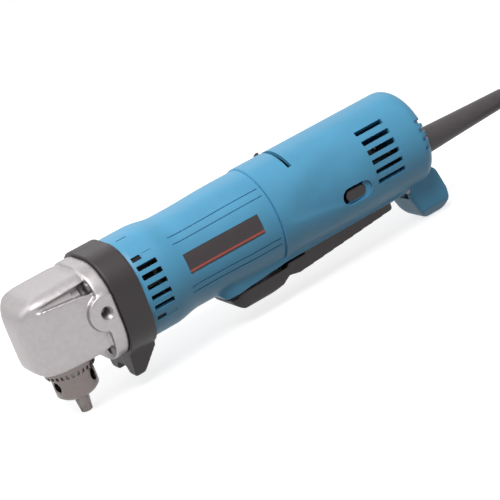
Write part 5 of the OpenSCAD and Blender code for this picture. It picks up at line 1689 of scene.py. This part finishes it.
@dataclass(frozen=True)
class CrossScrew:
    """One cross-head screw, its head upward from zero."""

    shank_r: float
    head_r: float
    head_t: float
    length: float
    rim: float = 0.45
    cross: Flat = (0.6, 0.15)

    def make(self) -> Body:
        """Turns the screw and cuts its cross.

        Returns:
            The screw.
        """
        r, t = self.head_r, self.head_t
        angles = [math.radians(a) for a in range(10, 91, 10)]
        dome = [(t * (self.rim + (1 - self.rim) * math.sin(a)), r * math.cos(a)) for a in angles]
        dome[-1] = (t, 0.0)
        end, rim = -self.length, t * self.rim
        shank = [(end, 0), (end, self.shank_r), (0, self.shank_r), (0, r), (rim, r)]
        screw = turned("screw", shank + dome, Axis.Z, steps=32)
        for long, wide in (self.cross, self.cross[::-1]):
            combine(screw, Join.CUT, box("cross", (-r * long, -r * wide, rim), (r * long, r * wide, t + 1)))
        return screw


@dataclass
class Screws:
    """The cross-head screws of the flange and the covers."""

    finishes: Finishes
    tree: CopyTree
    cover_spots: tuple[Point, ...]
    flange_screw: CrossScrew = CrossScrew(2.0, 3.6, 2.4, 38)
    cover_screw: CrossScrew = CrossScrew(1.55, 3.2, 2.0, 22)

    def build(self) -> None:
        """Sets the flange screws and the cover screws."""
        black = self.finishes.blackened
        spots = [((FLANGE_X, *spot), (0, -90, 0)) for spot in FLANGE_SCREWS]
        flange = self.tree.place("flange_cross_screws", self.flange_screw.make(), spots, black)
        dress(flange, black, "dark_steel", "flange_screws", angle=40)
        spots = [(spot, (-90, 0, 0)) for spot in self.cover_spots]
        cover = self.tree.place("cover_cross_screws", self.cover_screw.make(), spots, black)
        dress(cover, black, "dark_steel", "cover_screws", angle=40)


@dataclass
class Innards:
    """CAD solids that keep their shape and take a finer finish."""

    finishes: Finishes

    def build(self) -> None:
        """Paints each kept node."""
        f = self.finishes
        groups: tuple[tuple[Material, tuple[str, ...]], ...] = (
            (f.steel, ("bearing_outer_races", "bearing_balls", "armature_shaft", "motor_pinion",
                       "countershaft", "countershaft_gear", "bevel_pinion", "countershaft_bearing_inner",
                       "spindle", "bevel_gear", "spindle_bearing_inner", "armature_bearing_inners",
                       "brush_springs", "cord_clamp_screws")),
            (f.jaw, ("chuck_jaw_1", "chuck_jaw_2", "chuck_jaw_3")),
            # On the lever pin, the dark blackened finish also stands as painted shade for its end in the dark
            # hinge slit.
            (f.blackened, ("retaining_ring", "chuck_nut", "lever_pin")),
            (f.bronze, ("spindle_top_bush", "countershaft_bush")),
            (f.rubber, ("spindle_seal",)),
            (f.sheets, ("stator_core", "armature_core")),
            (f.copper, ("field_coil_upper", "field_coil_lower", "armature_windings", "commutator")),
            (f.brass, ("brush_holders", "plug_pins")),
            (f.carbon, ("carbon_brushes",)),
            (f.black, ("brush_carrier", "switch_body", "cord_clamp", "cooling_fan", "switch_plunger")),
            (f.foil, ("suppressor",)),
        )
        for finish, nodes in groups:
            for node in nodes:
                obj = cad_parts[node]
                if not obj.data.materials:
                    obj.data.materials.append(finish)
                for place in obj.material_slots:
                    place.material = finish
                LOG.info("%s: kept solid, %s", node, finish.name)


def main() -> None:
    """Builds the studio and every group of the drill in order."""
    logging.basicConfig(level=logging.INFO, format="%(name)s: %(message)s")
    studio, finishes, tree = Studio(), Finishes(), CopyTree()
    studio.camera()
    MainsLead(finishes, tree).build()
    studio.light()
    studio.floor()
    GearHead(finishes, tree).build()
    Collar(finishes).build()
    MotorHousing(finishes, tree).build()
    covers = RearCovers(finishes, tree)
    covers.build()
    SwitchGroup(finishes).build()
    CordGuard(finishes).build()
    Chuck(finishes, tree).build()
    Screws(finishes, tree, covers.screws).build()
    Innards(finishes).build()


if __name__ == "__main__":
    main()
